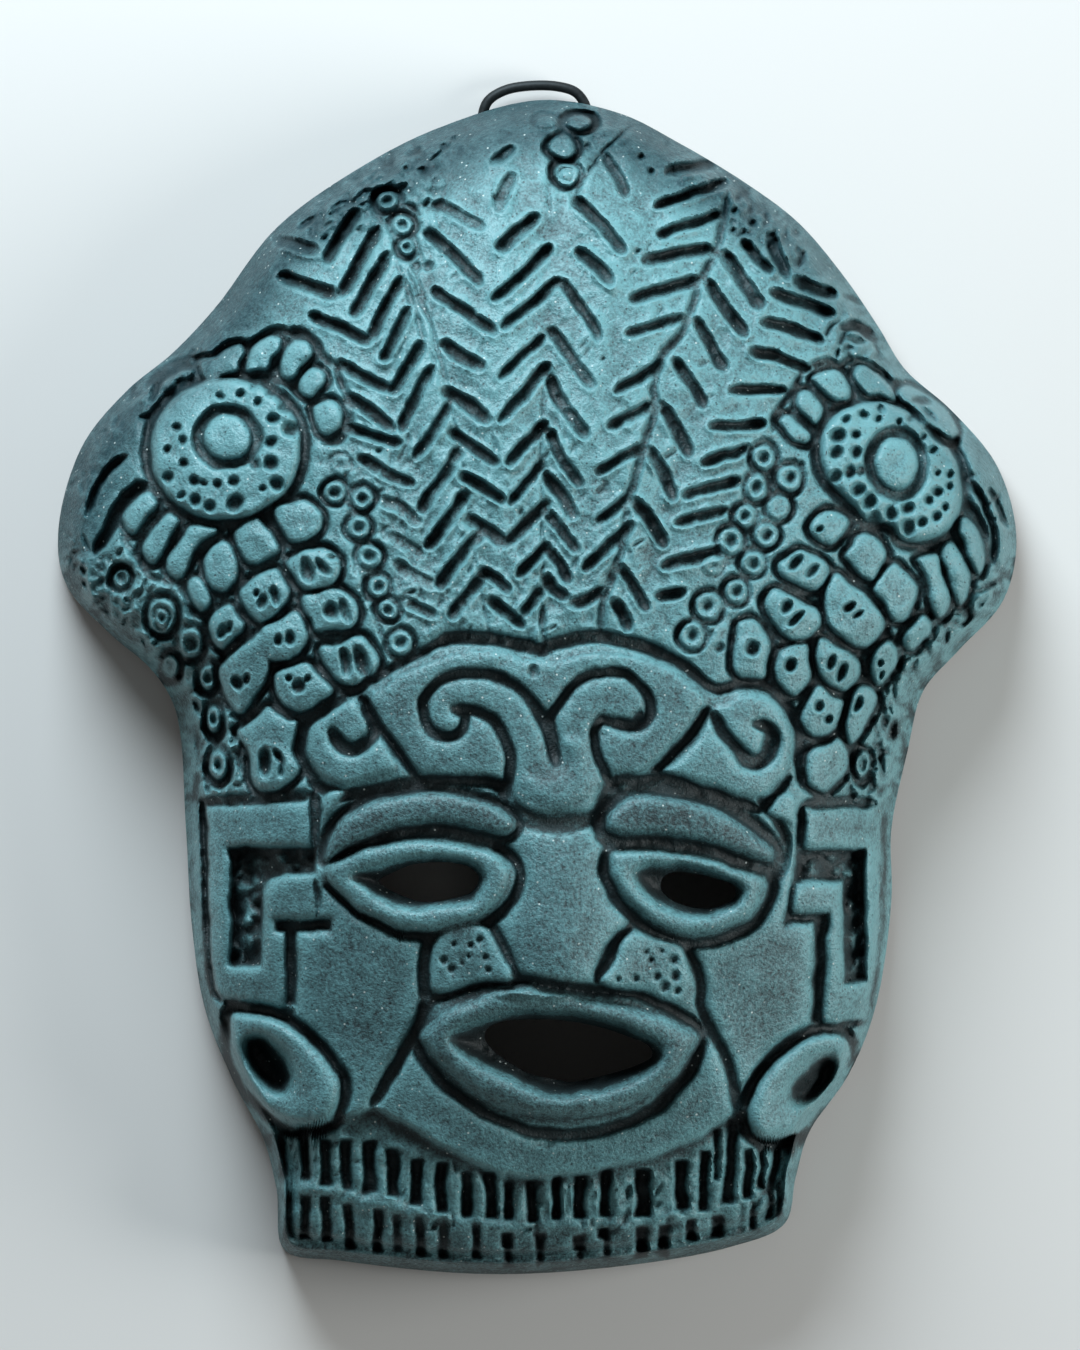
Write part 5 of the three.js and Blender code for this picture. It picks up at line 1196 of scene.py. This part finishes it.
def carveFace():
    for points, width, depth in faceGrooves:
        groove(points, width, depth, ends=1.2, burr=0.05, square=0.7, torn=0.3, shoulder=0.3)
    for points in corners:
        pad(points, rise=0.9, shoulder=1.2, crown=0)
    for points, pits in nosePads:
        pad(points, rise=0.7, shoulder=1.2, crown=0.2)
        for x, y, radius in pits:
            pit(x, y, radius * 1.1, depth=1.3)
    for points, gap in zip(brows, (1.7, 2.7)):
        moatRound(points, gap, gapDepth=2)
    for points in brows:
        # painted shade: the brows are darkened where they catch less light
        pad(points, rise=2.3, shoulder=1.9, crown=0.35, shadeAndPolish=0.66)
    for eye in eyes:
        lid, inner = [smoothPath(eye[edge], True, 6) for edge in ("lid", "inner")]
        # painted shade on the lids and lips too
        lipRound(lid, inner, rise=2.2, drop=0.7, slope=4.5, shadeAndPolish=0.2)
    lip, inner = [smoothPath(mouth[edge], True, 6) for edge in ("lip", "inner")]
    lipRound(lip, inner, rise=3.6, drop=1.2, slope=5.5, crest=0.5, shadeAndPolish=0.55)
    pit(1, -87, radius=2.2, depth=0.6, squash=0.35, degrees=4)
    pit(1.3, -35, radius=0.7, depth=0.3)


def carveAll():
    lowerNeck()
    carveVanes()
    stampRings()
    carveWings()
    carveScrolls()
    carveFrets()
    carveFace()
    carveEarRings()
    carveNeck()


tornPlaces = [
    # outline, how rough: by the top edge, under the wings and on the side walls
    ([(-35.1, 98.6), (-25.7, 102.4), (-18.2, 96.8), (-17.3, 87.4), (-23.8, 78.1), (-33.2, 81.8),
       (-40.7, 79.9), (-44.4, 85.6)], 1.3),
    ([(34.5, 92.1), (43.5, 91.2), (49.1, 82.7), (51, 77.1), (43.5, 78.1), (35.1, 82.7)], 1.1),
    ([(52.8, 66.9), (64, 68.7), (68.7, 62.2), (64, 57.1), (54.7, 60.3)], 1.3),
    ([(-76.2, 55.6), (-68.7, 60.9), (-61.2, 60.9), (-63.1, 51.9), (-69.7, 49.1), (-75.3, 50)], 1),
    ([(-89.3, 36.9), (-83.7, 48.2), (-76.2, 57.5), (-72.5, 55.6), (-79.9, 42.5), (-85.6, 33.2)], 0.6),
    ([(4.2, 106.1), (11.7, 103.3), (7, 86.5), (2.3, 89.3)], 0.6),
    ([(77.1, 44.4), (83.7, 36.9), (89.3, 33.2), (89.3, 25.7), (83.7, 29.5), (79.4, 36.9)], 0.9),
    ([(-88.9, 27.6), (-83.7, 22.7), (-76.2, 24.8), (-65, 14.5), (-56.6, 3.3), (-53.8, -11.7),
       (-54.7, -22.9), (-68.3, -22.9), (-70.6, -4.2), (-81.8, 7), (-89.7, 16.4)], 1.5),
    ([(64, 6.1), (74.3, 13.6), (80.9, 15.1), (86.5, 22), (90.6, 25.7), (89.3, 12.6), (74.3, -2.3),
       (68.7, -21), (58.8, -22.9), (58.4, -12.6), (65, -4.2)], 2.1),
    ([(-66.9, -22.9), (-63.1, -22.9), (-62.2, -60.3), (-65, -52.8)], 0.8),
    ([(63.7, -21), (68.7, -21), (66.9, -52.8), (63.3, -52.8)], 0.6),
    ([(-57.5, -79), (-50, -83.7), (-36.9, -86.5), (-36, -88.4), (-50, -88.4), (-56.6, -82.7)], 1.2),
    ([(37.9, -80.9), (49.1, -84.6), (60.3, -73.4), (58.4, -80.9), (49.1, -90.2), (38.8, -87.4)], 1.2),
    ([(-50, -83.7), (-25.7, -86.5), (-3.3, -94), (19.2, -92.1), (37.9, -83.7), (49.1, -84.6),
       (49.1, -97.7), (11.7, -104.3), (-22, -102.4), (-49.1, -95.8)], 0.7),
    ([(-26.6, 44.4), (28.5, 46.3), (21, 16.4), (11.7, 7), (-12.6, 7), (-20.1, 14.5)], 0.4),
    ([(-38.8, 81.8), (45.3, 81.8), (28.5, 44.4), (-27.6, 44.4)], 0.2),
    ([(-38.8, 44.4), (-28.5, 42.5), (-18.2, 4.2), (-25.7, 2.3), (-33.2, 14.5)], 0.6),
    ([(30.4, 22), (43.5, 42.5), (50, 36.9), (34.1, 5.1), (26.6, 2.3)], 0.6),
]
# Unevenness of the clay, each layer as height, size of its lumps and seed
unevenness = {
    "torn": ((0.55, 3.2, 33), (0.42, 1.5, 31), (0.34, 0.8, 32)), "tornDrop": 0.15,
    "lumps": ((0.26, 2.3, 44), (0.17, 1.1, 45)), "lumpsOnFace": 0.3, "lumpsOnHeaddress": 0.7,
    "swells": ((0.22, 14, 41), (0.12, 5, 42)), "dents": ((0.35, 11, 51), (0.15, 4, 52)),
    "burrs": ((0.8, 1.3, 46),),
    "tornBlur": 0.3, "softness": 0.17,
    "fineBlur": 0.35, "broadBlur": 2.2, "edgeBlur": 0.8,      # what tells grooves and edges from plain clay
}


def layered(name):
    return sum(height * noise(size, seed) for height, size, seed in unevenness[name])


# 1 on the headdress and 0 on the face, which meet in a shallow arch
browLine = {"from": -2, "to": 6, "arch": 0.0016}


def headdressAt(x, y):
    return ramp(browLine["from"], browLine["to"], y - browLine["arch"] * x ** 2)


scratchDice = np.random.default_rng(scratches["seed"])
for points, amount in tornPlaces:
    tear(points, amount)
    scratch(np.array(points, float), amount, scratchDice)
carveAll()
rough = blurred(rough, unevenness["tornBlur"])
tornGround = rough * (layered("torn") - unevenness["tornDrop"])
burrs *= 1 + layered("burrs")
relief = blurred(raised + carved + burrs + tornGround, unevenness["softness"])
lumpy = unevenness["lumpsOnFace"] + unevenness["lumpsOnHeaddress"] * headdressAt(boardX, boardY)
relief += layered("swells") + layered("lumps") * lumpy
# under 0 in the grooves, over 0 on edges
hollowness = blurred(relief, unevenness["fineBlur"]) - blurred(relief, unevenness["broadBlur"])
sharpness = relief - blurred(relief, unevenness["edgeBlur"])
dents = layered("dents")
print("relief carved")


def readBoard(field, x, y):
    u = np.clip((x - board["left"]) / board["step"], 0, field.shape[1] - 1.001)
    v = np.clip((y - board["bottom"]) / board["step"], 0, field.shape[0] - 1.001)
    column, row = u.astype(int), v.astype(int)
    fu, fv = u - column, v - row
    upper = field[row, column] * (1 - fu) + field[row, column + 1] * fu
    lower = field[row + 1, column] * (1 - fu) + field[row + 1, column + 1] * fu
    return upper * (1 - fv) + lower * fv


# The mask's mesh: a flat grid rolled round the pole, with front, rim and hollow in one sheet
def sheetRows(angle):
    poleX, poleY = shell["pole"]
    ray = np.stack([np.cos(angle), np.sin(angle)], 1)
    rim = rimDistance(angle)
    rows = []
    rings = shell["rings"]
    for i in range(rings + 1):
        share = 1 - (1 - i / rings) ** shell["crowding"]
        x, y = poleX + ray[:, 0] * rim * share, poleY + ray[:, 1] * rim * share
        fade = np.clip((rim - rim * share) / shell["rimFade"], 0, 1)
        height = clayHeight(x, y) + readBoard(relief, x, y) * standing(x, y) * fade
        rows.append((x, y, np.maximum(height, shell["lowest"])))
    rimX, rimY, footHeight = rows[-1]
    for share in shell["footSteps"]:
        rows.append((rimX, rimY, footHeight * share))
    inset = shell["wall"] + shell["topWall"] * np.maximum(0, np.sin(angle)) ** shell["topPower"]
    for part in shell["rimSteps"]:
        reach = rim - inset * part
        rows.append((poleX + ray[:, 0] * reach, poleY + ray[:, 1] * reach, 0 * reach))
    reach = rim - inset
    backRings = shell["backRings"]
    for i in range(backRings + 1):
        share = (1 - i / backRings) ** shell["backCrowding"]
        x, y = poleX + ray[:, 0] * reach * share, poleY + ray[:, 1] * reach * share
        steep = np.minimum(slopeOf(x, y), slopes["steepest"])
        ceiling = np.maximum(clayHeight(x, y) - shell["wall"] * steep, 1)
        smear = readBoard(dents, x, y)
        if i == 0:
            rows.append((x, y, np.full(x.shape, shell["hollowEdge"])))
            rows.append((x, y, ceiling * shell["hollowCorner"]))
        rows.append((x, y, ceiling + smear * min(i / 4, 1)))
    return rows


def rollSheet():
    columns = shell["columns"]
    angle = 2 * math.pi * ((np.arange(columns + 1) % columns) / columns - 0.5)
    rows = sheetRows(angle)
    bpy.ops.mesh.primitive_grid_add(x_subdivisions=columns, y_subdivisions=len(rows) - 1, size=1)
    mask = bpy.context.object
    mask.name = "carvedClayMask"
    flat = np.empty(len(mask.data.vertices) * 3)
    mask.data.vertices.foreach_get("co", flat)
    flat = flat.reshape(-1, 3)
    column = np.rint((flat[:, 0] + 0.5) * columns).astype(int)
    row = np.rint((flat[:, 1] + 0.5) * (len(rows) - 1)).astype(int)
    table = np.array(rows).transpose(0, 2, 1)
    mask.data.vertices.foreach_set("co", (table[row, column] * mm).ravel())
    mask.data.update()
    bpy.ops.object.mode_set(mode="EDIT")
    bpy.ops.mesh.select_all(action="SELECT")
    bpy.ops.mesh.remove_doubles(threshold=5e-8)
    bpy.ops.mesh.normals_make_consistent(inside=False)
    bpy.ops.object.mode_set(mode="OBJECT")
    print("sheet rolled,", len(mask.data.vertices), "points")
    return mask


def selectOnly(piece):
    bpy.ops.object.select_all(action="DESELECT")
    piece.select_set(True)
    bpy.context.view_layer.objects.active = piece


def cutThrough(mask, cutter):
    selectOnly(mask)
    cut = mask.modifiers.new("cut", "BOOLEAN")
    cut.operation = "DIFFERENCE"
    cut.solver = "MANIFOLD"
    cut.object = cutter
    bpy.ops.object.modifier_apply(modifier="cut")
    bpy.data.objects.remove(cutter)


# A face through the corners, extruded along a way and widened at its far end
def extrudedCutter(corners, way, flare=0.0, middle=(0, 0)):
    bpy.ops.mesh.primitive_circle_add(vertices=len(corners), radius=1, fill_type="NGON")
    cutter = bpy.context.object
    for vertex, corner in zip(cutter.data.vertices, corners):
        vertex.co = [v * mm for v in corner]
    bpy.ops.object.mode_set(mode="EDIT")
    bpy.ops.mesh.select_all(action="SELECT")
    bpy.ops.mesh.extrude_region_move(TRANSFORM_OT_translate={"value": [v * mm for v in way]})
    if flare:
        centre = (middle[0] * mm, middle[1] * mm, 0)
        bpy.ops.transform.resize(value=(1 + flare, 1 + flare, 1), center_override=centre)
    bpy.ops.mesh.select_all(action="SELECT")
    bpy.ops.mesh.normals_make_consistent(inside=False)
    bpy.ops.object.mode_set(mode="OBJECT")
    return cutter


openings = {"eyeLow": 20, "mouthLow": 10, "high": 60, "flare": 0.06}


def holeCutter(points, low):
    path = smoothPath(points, closed=True, steps=6)
    high = openings["high"]
    corners = [(x, y, high) for x, y in path]
    return extrudedCutter(corners, (0, 0, low - high), openings["flare"], path.mean(0))


# The hanging wire, its two bores, and the slope behind it that leaves room for a nail
wire = {
    "radius": 0.95, "height": 4, "bore": 1.6, "boreMiddle": 108, "boreLength": 40,
    "path": [
        (-4.5, 90.5), (-8.4, 90.6), (-10.3, 92.5), (-10.4, 99), (-10.4, 105), (-9.3, 108.3), (-6.3, 110.3),
        (-1.8, 111.2), (3.8, 111.1), (7.2, 110), (9, 107.6), (9.3, 104.5), (9.3, 99), (9.2, 92.5),
        (7.4, 90.6), (3.5, 90.5),
    ],
    "slopeLeft": -8, "slopeRight": 7, "slopeDeep": 8.2, "slopeHigh": 6,
    "dark": "#0d0f10", "scaly": "#2b3234", "scaleMm": 0.8, "glossy": 0.4, "matt": 0.7, "bumpMm": 0.1,
    "crease": 50,
}


def boreCutter(x):
    place = (x * mm, wire["boreMiddle"] * mm, wire["height"] * mm)
    size = {"radius": wire["bore"] * mm, "depth": wire["boreLength"] * mm}
    bpy.ops.mesh.primitive_cylinder_add(vertices=40, location=place, rotation=(math.pi / 2, 0, 0), **size)
    return bpy.context.object


def backSlopeCutter():
    top = max(y for x, y in outline)
    high, left, right = wire["slopeHigh"], wire["slopeLeft"], wire["slopeRight"]
    section = [(top - wire["slopeDeep"], -1), (top + 5, -1), (top + 5, high + 4), (top + 1, high + 1)]
    return extrudedCutter([(left, y, z) for y, z in section], (right - left, 0, 0))


# How pale the clay is painted when it is plain, raised or an edge, and what takes from that: raised clay is
# rubbed paler and hollows get painted shade, edges a painted highlight, and the face and marked pads a
# painted shade
wearAndLight = {
    "plain": 0.46, "raised": 0.6, "raisedRange": (-0.5, 0.36), "edge": 1.2, "edgeMost": 0.4, "face": 0.14,
    "rightRimPaling": 0.17, "rightRimPalingX": (52, 68), "rightRimPalingReach": (0.78, 0.88),      # paler by the right wing's rim
    "dullRim": (0.84, 0.94), "dullTop": (5, 35), "dullRight": (35, 65), "lessDull": 0.5,
    "grimeAndShade": 0.4, "deepGrimeAndShade": 0.06,
    "facing": (-0.35, -0.05), "skin": (-3.5, -2),    # tell the front from the hollow by normal and height
}


def finishMask(mask):
    for eye in eyes:
        cutThrough(mask, holeCutter(eye["hole"], openings["eyeLow"]))
    cutThrough(mask, holeCutter(mouth["hole"], openings["mouthLow"]))
    legs = [x for x, y in wire["path"]]
    cutThrough(mask, boreCutter(min(legs)))
    cutThrough(mask, boreCutter(max(legs)))
    cutThrough(mask, backSlopeCutter())
    print("openings cut,", len(mask.data.polygons), "faces")
    selectOnly(mask)
    triangles = sum(len(face.vertices) - 2 for face in mask.data.polygons)
    thin = mask.modifiers.new("thin", "DECIMATE")
    thin.ratio = shell["triangles"] / triangles
    bpy.ops.object.modifier_apply(modifier="thin")
    print("thinned to", len(mask.data.polygons), "faces")
    selectOnly(mask)
    bpy.ops.object.shade_smooth_by_angle(angle=math.radians(shell["crease"]))
    markWearAndPaintedLight(mask)


# What the clay's finish reads at each point: rubbed clay with painted highlights on edges and painted shade
# in hollows, on the face and brows, grime and painted shade in the cuts, the dull rim, front or back
def markWearAndPaintedLight(mask):
    points = np.empty(len(mask.data.vertices) * 3)
    mask.data.vertices.foreach_get("co", points)
    x, y, z = points.reshape(-1, 3).T / mm
    depth = readBoard(relief, x, y)
    normals = np.empty(len(points))
    mask.data.vertices.foreach_get("normal", normals)
    facing = ramp(*wearAndLight["facing"], normals[2::3])
    front = ramp(*wearAndLight["skin"], z - clayHeight(x, y) - depth * standing(x, y)) * facing
    level = readBoard(hollowness, x, y)
    nearRim = rimShare(x, y)
    dull = ramp(*wearAndLight["dullRim"], nearRim) * ramp(*wearAndLight["dullTop"], y) * front
    dull *= 1 - wearAndLight["lessDull"] * ramp(*wearAndLight["dullRight"], x)
    face = 1 - headdressAt(x, y)
    rightRimPaling = ramp(*wearAndLight["rightRimPalingX"], x) * ramp(*wearAndLight["rightRimPalingReach"], nearRim)
    # painted highlight: sharp edges are painted paler, like lit rims
    edges = np.clip(wearAndLight["edge"] * readBoard(sharpness, x, y), 0, wearAndLight["edgeMost"])
    # painted shade on the face and the marked pads
    shadeAndPolish = readBoard(paintedShadeAndPolish, x, y) + wearAndLight["face"] * face - wearAndLight["rightRimPaling"] * rightRimPaling
    raisedPart = np.clip(wearAndLight["raised"] * level, *wearAndLight["raisedRange"])
    rubbedAndLit = (wearAndLight["plain"] + raisedPart + edges - shadeAndPolish) * front
    # grime and painted shade: hollows and deep cuts are painted near black
    grimeAndShade = np.clip(-wearAndLight["grimeAndShade"] * level - wearAndLight["deepGrimeAndShade"] * np.minimum(depth + 1, 0), 0, 1) * front
    for name, values in (("wearAndPaintedLight", rubbedAndLit), ("grimeAndShade", grimeAndShade), ("front", front), ("dullRim", dull)):
        attribute = mask.data.attributes.new(name, "FLOAT", "POINT")
        attribute.data.foreach_set("value", values.astype(np.float32))


def addNode(tree, kind, settings=None, inputs=None):
    node = tree.nodes.new(kind)
    for name, value in (settings or {}).items():
        setattr(node, name, value)
    for name, value in (inputs or {}).items():
        if isinstance(value, bpy.types.NodeSocket):
            tree.links.new(value, node.inputs[name])
        else:
            node.inputs[name].default_value = value
    return node


def newMaterial(name, values):
    material = bpy.data.materials.new(name)
    material.use_nodes = True
    surface = material.node_tree.nodes["Principled BSDF"]
    for socket, value in values.items():
        surface.inputs[socket].default_value = value
    return material, material.node_tree, surface


# Black clay rubbed with a stone before firing and stained: dark grey teal with a gritty grain, paler where
# hands rub it and painted paler still on edges as a highlight, darker as painted shade on the face, brows
# and lips, dull by the rim, and near black in the cuts, where dust and soot stay and painted shade darkens
# them
clay = {
    # tones, from the body of the clay outwards; rubbed also carries painted highlights, deep also painted
    # shade in the cuts, and the hollow behind is darkened as painted shade
    "body": "#24373a", "rubbed": "#639499", "dull": "#18333a", "deep": "#0a1315", "shadedBack": "#161f22",
    "pore": "#0b1517", "speck": "#cfdad6",
    # each pattern as its size in millimetres, detail and roughness
    "mottle": (9, 5, 0.62), "coarse": (1.6, 4, 0.7), "grain": (0.55, 2, 0.6),
    "poreMm": 1.5, "speckMm": 2.4, "bumpMm": 0.3,
    # what each pattern adds to the rubbed tone and its painted highlights, to the soot and painted shade,
    # and to the height of the grit
    "rubbingAndLight": {"mottle": 0.9, "coarse": 1.7, "grain": 1.9}, "sootAndShadeSum": {"coarse": 0.8, "grain": 0.7},
    "grit": {"grain": 0.7},
    # how a sum is spread: from, to, and what that gives
    "shade": (2.1, 3.45, 0, 1), "dulled": (0, 0.6, 0, 0.92), "sootAndShade": (0.95, 1.75, 0, 0.82),
    "behind": (0, 1, 1, 0), "poreDot": (0.08, 0.18, 0.7, 0), "speckDot": (0.05, 0.1, 0.7, 0),
    "shine": (0, 0.9, 0.5, 0.24), "gloss": (2.1, 3.4, 0.62, 0.4),
}


def clayMaterial():
    material, tree, surface = newMaterial("burnishedBlackClay", {"IOR": 1.5, "Metallic": 0.0})
    place = addNode(tree, "ShaderNodeTexCoord").outputs["Object"]
    made = {}
    for name in ("wearAndPaintedLight", "grimeAndShade", "front", "dullRim"):
        made[name] = addNode(tree, "ShaderNodeAttribute", {"attribute_name": name}).outputs["Fac"]
    for name in ("mottle", "coarse", "grain"):
        size, detail, roughness = clay[name]
        settings = {"Vector": place, "Scale": 1 / (size * mm), "Detail": detail, "Roughness": roughness}
        made[name] = addNode(tree, "ShaderNodeTexNoise", inputs=settings).outputs["Fac"]
    # open pores and pale dust, each a scatter of small dots
    for name in ("pore", "speck"):
        settings = {"Vector": place, "Scale": 1 / (clay[name + "Mm"] * mm), "Randomness": 1}
        made[name] = addNode(tree, "ShaderNodeTexVoronoi", {"feature": "F1"}, settings).outputs["Distance"]
    # rubbed edges with their painted highlights, and grime with its painted shade, are broken up by
    # mottling and by the grain of the clay
    for name, base in (("rubbingAndLight", "wearAndPaintedLight"), ("sootAndShadeSum", "grimeAndShade"), ("grit", "coarse")):
        made[name] = made[base]
        for pattern, weight in clay[name].items():
            parts = {0: made[pattern], 1: weight, 2: made[name]}
            made[name] = addNode(tree, "ShaderNodeMath", {"operation": "MULTIPLY_ADD"}, parts).outputs[0]
    parts = {0: made["dullRim"], 1: made["coarse"]}
    made["dulling"] = addNode(tree, "ShaderNodeMath", {"operation": "MULTIPLY"}, parts).outputs[0]
    for name, source in (
        ("shade", "rubbingAndLight"), ("dulled", "dulling"), ("sootAndShade", "sootAndShadeSum"), ("behind", "front"),
        ("poreDot", "pore"), ("speckDot", "speck"), ("shine", "dulled"), ("gloss", "rubbingAndLight"),
    ):
        settings = dict(zip(("From Min", "From Max", "To Min", "To Max"), clay[name]), Value=made[source])
        made[name] = addNode(tree, "ShaderNodeMapRange", inputs=settings).outputs[0]
    tone = toLinear(clay["body"])
    for amount, colour in (
        ("shade", "rubbed"), ("dulled", "dull"), ("sootAndShade", "deep"), ("behind", "shadedBack"),
        ("poreDot", "pore"), ("speckDot", "speck"),
    ):
        parts = {0: made[amount], 6: tone, 7: toLinear(clay[colour])}
        tone = addNode(tree, "ShaderNodeMix", {"data_type": "RGBA"}, parts).outputs[2]
    settings = {"Height": made["grit"], "Strength": 1, "Distance": clay["bumpMm"] * mm}
    bump = addNode(tree, "ShaderNodeBump", inputs=settings).outputs["Normal"]
    for name, socket in (
        ("Base Color", tone), ("Specular IOR Level", made["shine"]), ("Roughness", made["gloss"]),
        ("Normal", bump),
    ):
        tree.links.new(socket, surface.inputs[name])
    return material


# Soft iron wire, blackened by annealing
def wireMaterial():
    material, tree, surface = newMaterial("annealedIronWire", {"Metallic": 0.6, "Specular IOR Level": 0.5})
    place = addNode(tree, "ShaderNodeTexCoord").outputs["Object"]
    settings = {"Vector": place, "Scale": 1 / (wire["scaleMm"] * mm), "Detail": 4, "Roughness": 0.6}
    scale = addNode(tree, "ShaderNodeTexNoise", inputs=settings).outputs["Fac"]
    parts = {0: scale, 6: toLinear(wire["dark"]), 7: toLinear(wire["scaly"])}
    tone = addNode(tree, "ShaderNodeMix", {"data_type": "RGBA"}, parts).outputs[2]
    settings = {"Value": scale, "To Min": wire["glossy"], "To Max": wire["matt"]}
    gloss = addNode(tree, "ShaderNodeMapRange", inputs=settings).outputs[0]
    settings = {"Height": scale, "Strength": 0.5, "Distance": wire["bumpMm"] * mm}
    bump = addNode(tree, "ShaderNodeBump", inputs=settings).outputs["Normal"]
    for name, socket in (("Base Color", tone), ("Roughness", gloss), ("Normal", bump)):
        tree.links.new(socket, surface.inputs[name])
    return material


def bendWire():
    bpy.ops.curve.primitive_nurbs_path_add(radius=1)
    loop = bpy.context.object
    loop.name = "bentIronWire"
    loop.data.splines.clear()
    path = smoothPath(wire["path"], steps=8)
    spline = loop.data.splines.new("POLY")
    spline.points.add(len(path) - 1)
    for point, (x, y) in zip(spline.points, path):
        point.co = (x * mm, y * mm, wire["height"] * mm, 1)
    loop.data.dimensions = "3D"
    loop.data.bevel_depth = wire["radius"] * mm
    loop.data.bevel_resolution = 6
    loop.data.use_fill_caps = True
    selectOnly(loop)
    bpy.ops.object.convert(target="MESH")
    loop = bpy.context.object
    bpy.ops.object.shade_smooth_by_angle(angle=math.radians(wire["crease"]))
    return loop


def layFloor():
    bpy.ops.mesh.primitive_plane_add(size=studio["floorSize"], location=(0, 0, 0))
    floor = bpy.context.object
    floor.name = "paleFloor"
    paint = {"Base Color": toLinear(studio["floor"]), "Roughness": studio["floorRoughness"]}
    floor.data.materials.append(newMaterial("paleMattPaint", paint)[0])


mask = rollSheet()
finishMask(mask)
mask.data.materials.clear()
mask.data.materials.append(clayMaterial())
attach(mask, "root")
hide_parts("ceramic_mask")
print("mask done")

loop = bendWire()
loop.data.materials.clear()
loop.data.materials.append(wireMaterial())
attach(loop, "root")
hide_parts("hanging_wire")
layFloor()
print("wire and floor done")
